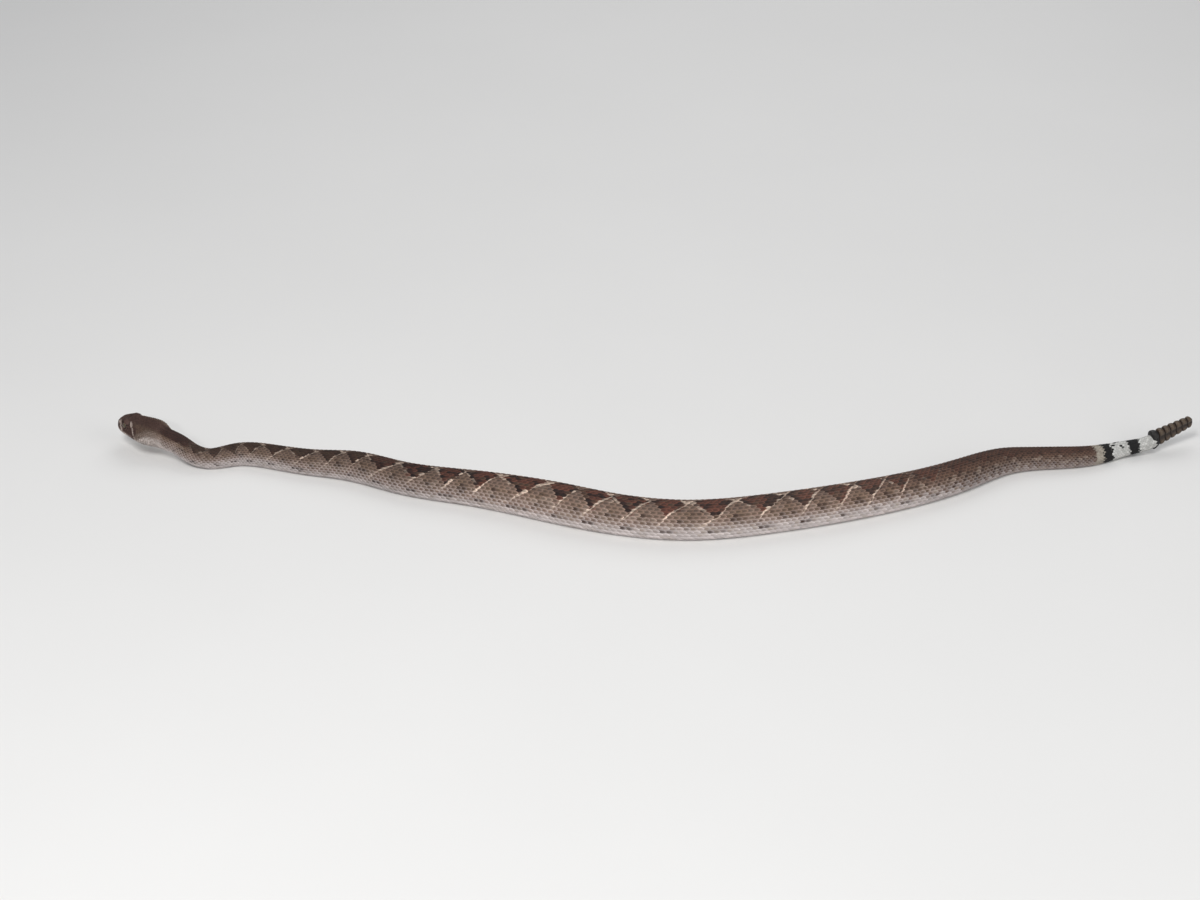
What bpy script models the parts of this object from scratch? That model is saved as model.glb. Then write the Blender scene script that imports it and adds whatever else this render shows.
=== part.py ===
# A western diamondback rattlesnake, life size, crawling with its head and its rattle just off the floor.
# Metres, +Z up. The snake heads towards -X, its left flank faces -Y, and its trunk lies on z = 0.
#
# Every piece is drawn in a straight body space first: s runs back from the snout along the belly line,
# u runs to the snake's left and v runs up from the belly line. place() then bends that space along the
# route that the snake takes over the floor.

import math

import bmesh
import bpy
import numpy as np

MM = 0.001
GAP = 0.3 * MM                  # clearance between two pieces that meet face to face

# The body's divisions, as distances from the snout along the belly line
NAPE = 59 * MM                  # the head is straight up to here
NECK_END = 120 * MM
VENT = 1070 * MM
TRUNK_LENGTHS = 7
STATION_SPACING = 11 * MM

# The route over the floor, seen from above, from the nape to the base of the rattle (millimetres)
ROUTE_MM = [
    (-506, 67), (-492, 60), (-476, 50), (-458, 46), (-430, 53), (-398, 49), (-359, 37), (-310, 26),
    (-255, 1), (-190, -18), (-123, -41), (-53, -67), (29, -81), (109, -69), (196, -44),
    (260, -19), (313, 10), (360, 38), (405, 46), (451, 53), (484, 65), (517, 74),
]
ROUTE_SHIFT_MM = (-1.17, -0.37) # brings the middle of the whole snake over the origin
ROUTE_SAMPLES = 60              # per span

# How the head and the rattle leave the floor
HEAD_YAW = math.radians(30)     # snout turned towards +Y
HEAD_PITCH = math.radians(5.5)    # snout up
NAPE_LIFT = 11.5 * MM
NECK_RAMP = 58 * MM             # plan length over which the neck comes down to the floor
RATTLE_YAW = math.radians(26)
RATTLE_PITCH = math.radians(12.5)
TAIL_LIFT = 7.5 * MM
TAIL_RAMP = 75 * MM

# Head: distance from the snout, half width, crown, chin, height of the widest line, half width of the
# flat underside, boxiness of the upper outline (2 is an ellipse), all in millimetres but the last
HEAD_PROFILE = [
    (0.3, 4.9, 11.6, 3.4, 7.2, 2.6, 2.6),
    (1.5, 7.2, 13.2, 1.2, 6.9, 4.2, 2.9),
    (4.5, 9.4, 14.8, 0.2, 6.5, 6.2, 3.1),
    (8.5, 11.2, 16.4, -0.2, 6.2, 7.6, 3.2),
    (14.0, 12.6, 17.8, -0.3, 6.1, 8.6, 3.0),
    (20.5, 14.4, 18.7, -0.2, 6.5, 9.6, 2.8),
    (28.0, 16.6, 19.4, 0.0, 7.2, 10.6, 2.6),
    (35.5, 18.2, 20.2, 0.0, 7.9, 10.8, 2.4),
    (42.0, 18.4, 20.8, 0.0, 8.4, 10.0, 2.3),
    (48.5, 16.6, 20.8, 0.0, 8.5, 8.8, 2.2),
    (54.0, 13.6, 20.2, 0.0, 8.3, 7.6, 2.1),
    (59.0, 11.6, 19.4, 0.0, 8.1, 7.0, 2.0),
]
HEAD_STATIONS_MM = (0.3, 1.0, 2.0, 3.4, 5.4, 8, 11, 13.5, 16.5, 20, 24, 28, 32, 36, 39.5, 43.5,
                    47, 50.5, 54.5)
BROW_AT = 13.5 * MM             # the ridge of the large scale over the eye
BROW_LENGTH = 4.5 * MM
BROW_HEIGHT = 0.9 * MM
BROW_ANGLE = math.radians(48)
BROW_SPREAD = math.radians(15)

# Mouth: the height of its line over the chin line, from the snout back to its corner (millimetres)
MOUTH_LINE_MM = [(-2, 5.3), (1, 5.2), (6.5, 4.6), (13, 4.4), (20.5, 4.8), (29, 5.8), (37, 7.2), (43, 7.9)]
MOUTH_CORNER = 43 * MM

EYE_RADIUS = 3.3 * MM
EYE_AT = (14.0 * MM, 9.7 * MM, 12.2 * MM)
PIT_RADIUS = 1.1 * MM           # heat-sensing pit, low between the nostril and the eye
PIT_AT = (8.3 * MM, 10.9 * MM, 9.3 * MM)
NOSTRIL_RADIUS = 0.9 * MM
NOSTRIL_AT = (3.2 * MM, 8.1 * MM, 11.2 * MM)

# Neck, trunk and tail: distance from the snout, width, height (millimetres)
BODY_PROFILE = [
    (59, 23.2, 19.4), (75, 22.0, 19.0), (110, 21.6, 18.8), (145, 24.8, 21.4), (195, 26.6, 22.9),
    (237, 29.0, 24.8), (269, 32.2, 27.7), (330, 34.2, 29.3), (393, 36.8, 31.5), (440, 39.8, 34.0),
    (487, 42.2, 36.1), (560, 41.2, 35.3), (690, 40.2, 34.4), (796, 38.6, 33.0), (865, 36.4, 31.2),
    (930, 33.4, 28.6), (971, 29.4, 25.2), (1001, 25.6, 22.0), (1045, 23.4, 20.0), (1075, 21.0, 18.0),
    (1104, 16.8, 15.0), (1125, 14.6, 13.4), (1146, 13.6, 13.0),
]
WIDEST_AT = 0.42                # height of the widest line, as a share of the height
BELLY_FLAT = 0.30               # half width of the flat belly, as a share of the width
BACK_ROUNDNESS = 1.94           # below 2 the back is a little roof-shaped

# Outline: steps up the flank from the belly's edge to the widest line, and from there to the back
LOWER_STEPS = 4
UPPER_STEPS = 7

# Rattle: a base button and the older segments behind it
RATTLE_SEGMENTS = 7
RATTLE_LENGTH = 51 * MM
RATTLE_AXIS = 7.0 * MM          # height of its axis over the belly line
RATTLE_HEIGHT = (18.4 * MM, 12.2 * MM)
RATTLE_WIDTH = (10.6 * MM, 7.6 * MM)
RATTLE_SIDES = 20
RATTLE_WAIST = 0.80             # share of the height left between two segments
RATTLE_GROOVE = 0.14            # depth of the lengthwise groove, as a share of the half width
RATTLE_STATIONS = (0.0, 0.14, 0.38, 0.68, 1.0)
BUTTON_STATIONS = (0.0, 0.14, 0.36, 0.58, 0.78, 0.92, 1.0)
BUTTON_TIP = 0.34               # share of the height left at the rattle's tip

SKIN_COLOUR = (0.36, 0.29, 0.22, 1)
HEAD_COLOUR = (0.24, 0.18, 0.14, 1)
TAIL_COLOUR = (0.62, 0.60, 0.55, 1)
EYE_COLOUR = (0.30, 0.22, 0.10, 1)
RATTLE_COLOUR = (0.30, 0.22, 0.13, 1)
BASE_COLOUR = (0.03, 0.025, 0.02, 1)


# Smooth curve through the rows of a table: rows are (at, value, value, ...), read at x.
def read_profile(rows, x):
    rows = np.asarray(rows, dtype=float)
    at, values = rows[:, 0], rows[:, 1:]
    x = min(max(x, at[0]), at[-1])
    slopes = np.gradient(values, at, axis=0)
    i = min(int(np.searchsorted(at, x, side="right")) - 1, len(at) - 2)
    span = at[i + 1] - at[i]
    t = (x - at[i]) / span
    return ((1 + 2 * t) * (1 - t) ** 2 * values[i] + t * (1 - t) ** 2 * span * slopes[i]
            + t * t * (3 - 2 * t) * values[i + 1] + t * t * (t - 1) * span * slopes[i + 1])


# Direction, pointing back along the body, of a stretch that is turned by yaw and lifted by pitch.
def heading(yaw, pitch):
    return np.array([math.cos(pitch) * math.cos(yaw), math.cos(pitch) * math.sin(yaw), math.sin(pitch)])


# Plan curve through the route's points with a continuous bend, leaving both ends at the given headings.
def plan_curve():
    points = (np.array(ROUTE_MM, dtype=float) + ROUTE_SHIFT_MM) * MM
    spans = np.linalg.norm(np.diff(points, axis=0), axis=1)
    count = len(points)
    system = np.zeros((count, count))
    wanted = np.zeros((count, 2))
    system[0, 0] = system[-1, -1] = 1
    wanted[0] = heading(-HEAD_YAW, 0)[:2]
    wanted[-1] = heading(RATTLE_YAW, 0)[:2]
    for i in range(1, count - 1):
        before, after = 1 / spans[i - 1], 1 / spans[i]
        system[i, i - 1:i + 2] = before, 2 * (before + after), after
        wanted[i] = 3 * ((points[i] - points[i - 1]) * before ** 2 + (points[i + 1] - points[i]) * after ** 2)
    tangents = np.linalg.solve(system, wanted)
    curve = []
    for i, span in enumerate(spans):
        for t in np.arange(ROUTE_SAMPLES) / ROUTE_SAMPLES:
            curve.append((1 + 2 * t) * (1 - t) ** 2 * points[i] + t * (1 - t) ** 2 * span * tangents[i]
                         + t * t * (3 - 2 * t) * points[i + 1] + t * t * (t - 1) * span * tangents[i + 1])
    curve.append(points[-1])
    return np.array(curve)


# Height gained over a ramp that starts level: t is 0 where it leaves the floor and 1 at its upper end.
def ramp(t, lift, slope, length):
    t = np.clip(t, 0, 1)
    return np.maximum(lift * t * t * (3 - 2 * t) + slope * length * t * t * (t - 1), 0)


# The belly line in space: distances from the snout, points and backward tangents.
def belly_line():
    plan = plan_curve()
    walked = np.concatenate([[0], np.cumsum(np.linalg.norm(np.diff(plan, axis=0), axis=1))])
    height = (ramp(1 - walked / NECK_RAMP, NAPE_LIFT, math.tan(HEAD_PITCH), NECK_RAMP)
              + ramp(1 - (walked[-1] - walked) / TAIL_RAMP, TAIL_LIFT, math.tan(RATTLE_PITCH), TAIL_RAMP))
    line = np.column_stack([plan, height])
    at = NAPE + np.concatenate([[0], np.cumsum(np.linalg.norm(np.diff(line, axis=0), axis=1))])
    tangents = np.gradient(line, at, axis=0)
    tangents[0] = heading(-HEAD_YAW, -HEAD_PITCH)
    tangents[-1] = heading(RATTLE_YAW, RATTLE_PITCH)
    return at, line, tangents


LINE_AT, LINE_POINTS, LINE_TANGENTS = belly_line()
TAIL_END = float(LINE_AT[-1])


# World position of a point of the straight body space. The head and the rattle run on straight.
def place(s, u, v):
    point = np.array([np.interp(s, LINE_AT, LINE_POINTS[:, k]) for k in range(3)])
    back = np.array([np.interp(s, LINE_AT, LINE_TANGENTS[:, k]) for k in range(3)])
    back /= np.linalg.norm(back)
    left = np.cross(back, (0, 0, 1))
    left /= np.linalg.norm(left)
    up = np.cross(left, back)
    beyond = min(s - NAPE, 0) + max(s - TAIL_END, 0)
    return point + back * beyond + left * u + up * v


# Half an outline as (u, v), from the edge of the flat underside round the widest line to the crown.
def half_outline(half_width, top, bottom, widest, flat, boxiness):
    outline = []
    for i in range(LOWER_STEPS):
        a = math.pi / 2 * i / LOWER_STEPS
        outline.append((flat + (half_width - flat) * math.sin(a), widest - (widest - bottom) * math.cos(a)))
    for i in range(UPPER_STEPS + 1):
        a = math.pi / 2 * i / UPPER_STEPS
        outline.append((half_width * abs(math.cos(a)) ** (2 / boxiness),
                        widest + (top - widest) * math.sin(a) ** (2 / boxiness)))
    outline[-1] = (0.0, outline[-1][1])
    return outline


def whole_outline(half):
    return half + [(-u, v) for u, v in reversed(half[:-1])]


def body_outline(s):
    width, height = read_profile(BODY_PROFILE, s / MM) * MM
    return whole_outline(half_outline(width / 2, height, 0.0, WIDEST_AT * height, BELLY_FLAT * width,
                                      BACK_ROUNDNESS))


# The head's outline, with the brow pushed up and out over the eye.
def head_outline(s):
    sizes = read_profile(HEAD_PROFILE, s / MM)
    half = half_outline(*(sizes[:5] * MM), sizes[5])
    widest = sizes[3] * MM
    raised = []
    for u, v in half:
        angle = math.atan2(v - widest, u) if v > widest else 0.0
        brow = BROW_HEIGHT * math.exp(-((s - BROW_AT) / BROW_LENGTH) ** 2
                                      - ((angle - BROW_ANGLE) / BROW_SPREAD) ** 2)
        raised.append((u + brow * math.cos(angle), v + brow * math.sin(angle)) if u > 0 else (u, v))
    return whole_outline(raised)


def new_material(name, colour, roughness):
    material = bpy.data.materials.new(name)
    material.use_nodes = True
    shader = material.node_tree.nodes["Principled BSDF"]
    shader.inputs["Base Color"].default_value = colour
    shader.inputs["Roughness"].default_value = roughness
    shader.inputs["Metallic"].default_value = 0.0
    return material


def new_object(name, bm, collection, material=None):
    bmesh.ops.recalc_face_normals(bm, faces=bm.faces)
    mesh = bpy.data.meshes.new(name)
    bm.to_mesh(mesh)
    bm.free()
    obj = bpy.data.objects.new(name, mesh)
    collection.objects.link(obj)
    if material:
        mesh.materials.append(material)
        mesh.shade_smooth()
        mesh.set_sharp_from_angle(angle=math.radians(40))
    return obj


# A closed body through rings of body-space points, one ring for each station, capped at both ends.
def loft(name, rings, collection, material=None):
    bm = bmesh.new()
    verts = [[bm.verts.new(place(s, u, v)) for s, u, v in ring] for ring in rings]
    for near, far in zip(verts, verts[1:]):
        for i in range(len(near)):
            j = (i + 1) % len(near)
            bm.faces.new((near[i], near[j], far[j], far[i]))
    bm.faces.new(verts[0])
    bm.faces.new(reversed(verts[-1]))
    return new_object(name, bm, collection, material)


def station_rings(outline, stations):
    return [[(s, u, v) for u, v in outline(s)] for s in stations]


# A length of neck, trunk or tail between two distances, half a gap short at each end.
def body_length(name, start, end, collection, material):
    steps = max(round((end - start) / STATION_SPACING), 2)
    stations = np.linspace(start + GAP / 2, end - GAP / 2, steps + 1)
    return loft(name, station_rings(body_outline, stations), collection, material)


# A ball in body space. Its pole points outwards, to the side that u is on.
def ball(name, at, radius, segments, rings, collection, material=None):
    bm = bmesh.new()
    bmesh.ops.create_uvsphere(bm, u_segments=segments, v_segments=rings, radius=radius)
    for vert in bm.verts:
        x, y, z = vert.co
        vert.co = place(at[0] + x, at[1] + z, at[2] + y)
    return new_object(name, bm, collection, material)


# The space under the mouth line, from the snout back to the corner of the mouth, grown by half a gap.
def mouth_cutter(name, grow, collection):
    reach = 25 * MM
    line = [(s * MM, v * MM + grow) for s, v in MOUTH_LINE_MM]
    line[-1] = (MOUTH_CORNER + grow, line[-1][1])
    outline = line + [(MOUTH_CORNER + grow, -5 * MM), (line[0][0], -5 * MM)]
    bm = bmesh.new()
    sides = [[bm.verts.new(place(s, u, v)) for s, v in outline] for u in (-reach, reach)]
    for i in range(len(outline)):
        j = (i + 1) % len(outline)
        bm.faces.new((sides[0][i], sides[0][j], sides[1][j], sides[1][i]))
    bm.faces.new(sides[0])
    bm.faces.new(reversed(sides[1]))
    return new_object(name, bm, collection)


def hide_cutter(obj):
    obj.hide_render = True
    obj.display_type = "WIRE"


def cut(obj, cutter, operation):
    modifier = obj.modifiers.new(cutter.name, "BOOLEAN")
    modifier.object = cutter
    modifier.operation = operation
    modifier.solver = "EXACT"


# The head with its lower jaw parted along the mouth line, its eyes in their sockets, and its pits.
def build_head(parts, cutters, skin, eye_material):
    stations = [s * MM for s in HEAD_STATIONS_MM] + [NAPE - GAP / 2]
    head = loft("head", station_rings(head_outline, stations), parts, skin)
    jaw = loft("lower_jaw", station_rings(head_outline, stations), parts, skin)
    made = [mouth_cutter("mouth_space", GAP / 2, cutters), mouth_cutter("jaw_space", -GAP / 2, cutters)]
    cut(head, made[0], "DIFFERENCE")
    cut(jaw, made[1], "INTERSECT")
    for side, name in ((1, "left"), (-1, "right")):
        eye_at = (EYE_AT[0], side * EYE_AT[1], EYE_AT[2])
        ball("eye_" + name, eye_at, EYE_RADIUS, 16, 10, parts, eye_material)
        hollows = [
            ball("socket_" + name, eye_at, EYE_RADIUS + GAP, 16, 10, cutters),
            ball("pit_" + name, (PIT_AT[0], side * PIT_AT[1], PIT_AT[2]), PIT_RADIUS, 10, 6, cutters),
            ball("nostril_" + name, (NOSTRIL_AT[0], side * NOSTRIL_AT[1], NOSTRIL_AT[2]), NOSTRIL_RADIUS,
                 8, 6, cutters),
        ]
        for hollow in hollows:
            cut(head, hollow, "DIFFERENCE")
        made += hollows
    for cutter in made:
        hide_cutter(cutter)


def build_body(parts, skin, tail_skin):
    body_length("neck", NAPE, NECK_END, parts, skin)
    ends = np.linspace(NECK_END, VENT, TRUNK_LENGTHS + 1)
    for i in range(TRUNK_LENGTHS):
        body_length(f"trunk_{i + 1}", ends[i], ends[i + 1], parts, skin)
    body_length("tail", VENT, TAIL_END, parts, tail_skin)


# Outline of the rattle: taller than it is thick, with a groove along the middle of each side.
def rattle_ring(s, height, width):
    ring = []
    for i in range(RATTLE_SIDES):
        a = 2 * math.pi * i / RATTLE_SIDES
        groove = 1 - RATTLE_GROOVE * math.exp(-(math.sin(a) / 0.32) ** 2)
        ring.append((s, width / 2 * math.cos(a) * groove, RATTLE_AXIS + height / 2 * math.sin(a)))
    return ring


# One rattle segment: a ring that swells between two waists. The last one closes to a blunt tip.
def build_rattle_segment(index, parts, material):
    length = RATTLE_LENGTH / RATTLE_SEGMENTS
    start = TAIL_END + index * length
    last = index == RATTLE_SEGMENTS - 1
    age = index / (RATTLE_SEGMENTS - 1)
    height = RATTLE_HEIGHT[0] + (RATTLE_HEIGHT[1] - RATTLE_HEIGHT[0]) * age
    width = RATTLE_WIDTH[0] + (RATTLE_WIDTH[1] - RATTLE_WIDTH[0]) * age
    rings = []
    for x in BUTTON_STATIONS if last else RATTLE_STATIONS:
        swell = RATTLE_WAIST + (1 - RATTLE_WAIST) * abs(math.sin(math.pi * x ** 0.8)) ** 0.6
        if last and x > 0.3:
            swell = 1 - (1 - BUTTON_TIP) * ((x - 0.3) / 0.7) ** 2.2
        s = start + GAP / 2 + x * (length - GAP)
        rings.append(rattle_ring(s, height * swell, width * swell))
    loft(f"rattle_{index + 1}", rings, parts, material)


def main():
    for obj in list(bpy.data.objects):
        bpy.data.objects.remove(obj)
    parts = bpy.data.collections.new("western_diamondback_rattlesnake")
    cutters = bpy.data.collections.new("cutters")
    for collection in (parts, cutters):
        bpy.context.scene.collection.children.link(collection)
    skin = new_material("body_skin", SKIN_COLOUR, 0.6)
    build_head(parts, cutters, new_material("head_skin", HEAD_COLOUR, 0.6),
               new_material("eye", EYE_COLOUR, 0.1))
    build_body(parts, skin, new_material("tail_skin", TAIL_COLOUR, 0.6))
    base_horn = new_material("rattle_base_horn", BASE_COLOUR, 0.45)
    horn = new_material("rattle_horn", RATTLE_COLOUR, 0.5)
    for index in range(RATTLE_SEGMENTS):
        build_rattle_segment(index, parts, base_horn if index == 0 else horn)


main()
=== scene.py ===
import math
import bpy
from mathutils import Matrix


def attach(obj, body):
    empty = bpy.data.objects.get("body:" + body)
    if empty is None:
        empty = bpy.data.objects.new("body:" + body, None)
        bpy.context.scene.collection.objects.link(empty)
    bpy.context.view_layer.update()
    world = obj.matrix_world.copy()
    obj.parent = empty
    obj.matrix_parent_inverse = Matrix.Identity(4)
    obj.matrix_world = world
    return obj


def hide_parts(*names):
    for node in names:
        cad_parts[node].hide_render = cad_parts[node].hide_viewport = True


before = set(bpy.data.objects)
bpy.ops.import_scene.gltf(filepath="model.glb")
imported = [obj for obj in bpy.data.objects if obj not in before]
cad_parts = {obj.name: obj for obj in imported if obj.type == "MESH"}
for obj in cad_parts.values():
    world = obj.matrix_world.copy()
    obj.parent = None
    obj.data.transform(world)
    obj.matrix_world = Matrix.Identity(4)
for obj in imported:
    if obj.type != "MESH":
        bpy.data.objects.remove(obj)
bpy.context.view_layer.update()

from types import SimpleNamespace

import bpy
import numpy as np

mm = 0.001
randomiser = np.random.default_rng(11)

# The snake is worked out in a straight body space, in millimetres, as its solids are: s runs back from the
# snout, u to its left, v up from the belly line. On the skin a place is (s, t), where t is the share of
# the way round from the middle of the back, 0, to the middle of the belly, 1, and is negative on the right
route = {
    "points": [
        (-506, 67), (-492, 60), (-476, 50), (-458, 46), (-430, 53), (-398, 49), (-359, 37), (-310, 26),
        (-255, 1), (-190, -18), (-123, -41), (-53, -67), (29, -81), (109, -69), (196, -44),
        (260, -19), (313, 10), (360, 38), (405, 46), (451, 53), (484, 65), (517, 74),
    ],
    "shift": (-1.17, -0.37),
    "samples": 60,
    "headYaw": math.radians(30), "headPitch": math.radians(5.5), "napeLift": 11.5, "neckRamp": 58,
    "rattleYaw": math.radians(26), "rattlePitch": math.radians(12.5), "tailLift": 7.5, "tailRamp": 75,
}
nape = 59
vent = 1070

# Head: s, half width, crown, chin, height of the widest line, half width of the flat underside, boxiness
headProfile = [
    (0.3, 4.9, 11.6, 3.4, 7.2, 2.6, 2.6), (1.5, 7.2, 13.2, 1.2, 6.9, 4.2, 2.9),
    (4.5, 9.4, 14.8, 0.2, 6.5, 6.2, 3.1), (8.5, 11.2, 16.4, -0.2, 6.2, 7.6, 3.2),
    (14.0, 12.6, 17.8, -0.3, 6.1, 8.6, 3.0), (20.5, 14.4, 18.7, -0.2, 6.5, 9.6, 2.8),
    (28.0, 16.6, 19.4, 0.0, 7.2, 10.6, 2.6), (35.5, 18.2, 20.2, 0.0, 7.9, 10.8, 2.4),
    (42.0, 18.4, 20.8, 0.0, 8.4, 10.0, 2.3), (48.5, 16.6, 20.8, 0.0, 8.5, 8.8, 2.2),
    (54.0, 13.6, 20.2, 0.0, 8.3, 7.6, 2.1), (59.0, 11.6, 19.4, 0.0, 8.1, 7.0, 2.0),
]
# Neck, trunk and tail: s, width, height
bodyProfile = [
    (59, 23.2, 19.4), (75, 22.0, 19.0), (110, 21.6, 18.8), (145, 24.8, 21.4), (195, 26.6, 22.9),
    (237, 29.0, 24.8), (269, 32.2, 27.7), (330, 34.2, 29.3), (393, 36.8, 31.5), (440, 39.8, 34.0),
    (487, 42.2, 36.1), (560, 41.2, 35.3), (690, 40.2, 34.4), (796, 38.6, 33.0), (865, 36.4, 31.2),
    (930, 33.4, 28.6), (971, 29.4, 25.2), (1001, 25.6, 22.0), (1045, 23.4, 20.0), (1075, 21.0, 18.0),
    (1104, 16.8, 15.0), (1125, 14.6, 13.4), (1146, 13.6, 13.0),
]
section = {"widestAt": 0.42, "bellyFlat": 0.30, "roundness": 1.94, "around": 128,
           "drawn": 60, "drawnFlat": 20}
mouthLine = [(-2, 5.3), (1, 5.2), (6.5, 4.6), (13, 4.4), (20.5, 4.8), (29, 5.8), (37, 7.2), (43, 7.9)]


def hermite(t, a, b, slopeA, slopeB):    # from a at t = 0 to b at t = 1, with these slopes there
    return ((1 + 2 * t) * (1 - t) ** 2 * a + t * (1 - t) ** 2 * slopeA
            + t * t * (3 - 2 * t) * b + t * t * (t - 1) * slopeB)


def readProfile(rows, x):
    rows = np.asarray(rows, float)
    at, values = rows[:, 0], rows[:, 1:]
    x = np.clip(np.asarray(x, float), at[0], at[-1])
    slopes = np.gradient(values, at, axis=0)
    i = np.clip(np.searchsorted(at, x, side="right") - 1, 0, len(at) - 2)
    span = (at[i + 1] - at[i])[..., None]
    t = (x - at[i])[..., None] / span
    return hermite(t, values[i], values[i + 1], span * slopes[i], span * slopes[i + 1])


def walkAlong(points):   # how far along a line of points each of them is
    return np.concatenate([[0], np.cumsum(np.linalg.norm(np.diff(points, axis=0), axis=1))])


def heading(yaw, pitch):
    return np.array([math.cos(pitch) * math.cos(yaw), math.cos(pitch) * math.sin(yaw), math.sin(pitch)])


def planCurve():         # the route seen from above, with a continuous bend
    points = np.array(route["points"], float) + route["shift"]
    spans = np.linalg.norm(np.diff(points, axis=0), axis=1)
    count = len(points)
    system, wanted = np.zeros((count, count)), np.zeros((count, 2))
    system[0, 0] = system[-1, -1] = 1
    wanted[0] = heading(-route["headYaw"], 0)[:2]
    wanted[-1] = heading(route["rattleYaw"], 0)[:2]
    for i in range(1, count - 1):
        before, after = 1 / spans[i - 1], 1 / spans[i]
        system[i, i - 1:i + 2] = before, 2 * (before + after), after
        wanted[i] = 3 * ((points[i] - points[i - 1]) * before ** 2
                         + (points[i + 1] - points[i]) * after ** 2)
    tangents = np.linalg.solve(system, wanted)
    t = (np.arange(route["samples"]) / route["samples"])[:, None]
    curve = [hermite(t, points[i], points[i + 1], span * tangents[i], span * tangents[i + 1])
             for i, span in enumerate(spans)]
    return np.vstack(curve + [points[-1:]])


def lifted(before, length, lift, slope):     # height over the floor, at a distance before the lifted end
    t = np.clip(1 - before / length, 0, 1)
    return np.maximum(hermite(t, 0, lift, 0, slope * length), 0)


def bellyLine():         # distances from the snout, points and backward directions
    plan = planCurve()
    far = walkAlong(plan)
    height = (lifted(far, route["neckRamp"], route["napeLift"], math.tan(route["headPitch"]))
              + lifted(far[-1] - far, route["tailRamp"], route["tailLift"], math.tan(route["rattlePitch"])))
    line = np.column_stack([plan, height])
    at = nape + walkAlong(line)
    tangents = np.gradient(line, at, axis=0)
    tangents[0] = heading(-route["headYaw"], -route["headPitch"])
    tangents[-1] = heading(route["rattleYaw"], route["rattlePitch"])
    return at, line, tangents


lineAt, linePoints, lineTangents = bellyLine()
tailEnd = float(lineAt[-1])


def place(s, u, v):      # from body space to the frame, in metres
    point = np.stack([np.interp(s, lineAt, linePoints[:, k]) for k in range(3)], -1)
    back = np.stack([np.interp(s, lineAt, lineTangents[:, k]) for k in range(3)], -1)
    back /= np.linalg.norm(back, axis=-1, keepdims=True)
    left = np.cross(back, (0.0, 0.0, 1.0))
    left /= np.linalg.norm(left, axis=-1, keepdims=True)
    up = np.cross(left, back)
    beyond = np.minimum(s - nape, 0) + np.maximum(s - tailEnd, 0)
    return (point + back * beyond[..., None] + left * u[..., None] + up * v[..., None]) * mm


# The bare outline, station by station: the snout's rounded front, the head, then the body
cap = {"travel": 5.0, "bulge": 0.5, "centre": 7.4}    # the snout's front, ahead of the first outline
snout = headProfile[0][0]


def halfOutlines(s):     # (stations, points, 2), from the crown round the flank to the middle of the belly
    head = readProfile(headProfile, s)
    width, height = readProfile(bodyProfile, s).T
    trunk = np.column_stack([width / 2, height, 0 * s, section["widestAt"] * height,
                             section["bellyFlat"] * width, 0 * s + section["roundness"]])
    halfWidth, top, bottom, widest, flat, boxiness = np.where(s[:, None] < nape, head, trunk).T[:, :, None]
    a = np.linspace(0, math.pi / 2, section["drawn"])[None]
    inwards = np.linspace(1, 0, section["drawnFlat"])[None]
    upper = np.stack([halfWidth * np.sin(a) ** (2 / boxiness),
                      widest + (top - widest) * np.cos(a) ** (2 / boxiness)], -1)
    lower = np.stack([flat + (halfWidth - flat) * np.cos(a), widest - (widest - bottom) * np.sin(a)], -1)
    belly = np.stack([flat * inwards, bottom + 0 * inwards], -1)
    return np.concatenate([upper, lower[:, 1:], belly[:, 1:]], axis=1)


def evenly(outlines):    # each outline again, with its points the same arc apart
    spread, lengths = [], []
    for outline in outlines:
        walked = walkAlong(outline)
        at = np.linspace(0, walked[-1], section["around"] + 1)
        spread.append(np.column_stack([np.interp(at, walked, outline[:, k]) for k in (0, 1)]))
        lengths.append(walked[-1])
    return np.array(spread), np.array(lengths)


stations = np.concatenate([np.arange(snout - cap["travel"], snout, 0.25), np.arange(snout, nape, 0.25),
                           np.arange(nape, tailEnd, 1.0), [tailEnd]])
bare, halfRound = evenly(halfOutlines(np.maximum(stations, snout)))
capShare = np.clip((stations - (snout - cap["travel"])) / cap["travel"], 0, 1)[:, None]
bareS = np.where(stations[:, None] < snout, snout - cap["bulge"] * (1 - capShare ** 2), stations[:, None])
bareS = np.broadcast_to(bareS, bare.shape[:2])
bareU = bare[:, :, 0] * capShare
bareV = cap["centre"] + (bare[:, :, 1] - cap["centre"]) * capShare
shareRound = np.linspace(0, 1, section["around"] + 1)


def normalsOf(points):   # outward, of a table of (s, u, v)
    n = np.cross(np.gradient(points, axis=0), np.gradient(points, axis=1))
    n[0] = (-1, 0, 0)
    n[:, 0, 1] = n[:, -1, 1] = 0
    return n / np.maximum(np.linalg.norm(n, axis=-1, keepdims=True), 1e-9)


def bump(x, width):
    return np.exp(-(x / width) ** 2)


def below(x, soft):                  # 1 below 0, 0 past it
    return 0.5 - 0.5 * np.tanh(x / (2 * soft))


# Rows of scales: how many, where the belly plates begin, and the way from one scale to the next
lattice = {
    "rows": 25, "tailRows": 17, "tailFrom": 1079, "plateOver": 2.0, "chinPlateHalf": 7.0,
    "spacing": [(-5, 1.6), (10, 1.8), (25, 2.1), (40, 2.5), (52, 3.2), (66, 3.8), (80, 3.9)],
    "perWidth": 0.118, "perScale": 1.3, "depth": 0.27, "widestPitch": 3.9,
}


def spacingAt(s):
    width = readProfile(bodyProfile, s)[..., 0]
    knots = np.array(lattice["spacing"], float)
    onHead = np.interp(s, knots[:, 0], knots[:, 1])
    return np.where(s < knots[-1, 0], onHead, lattice["perWidth"] * width + lattice["perScale"])


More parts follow.
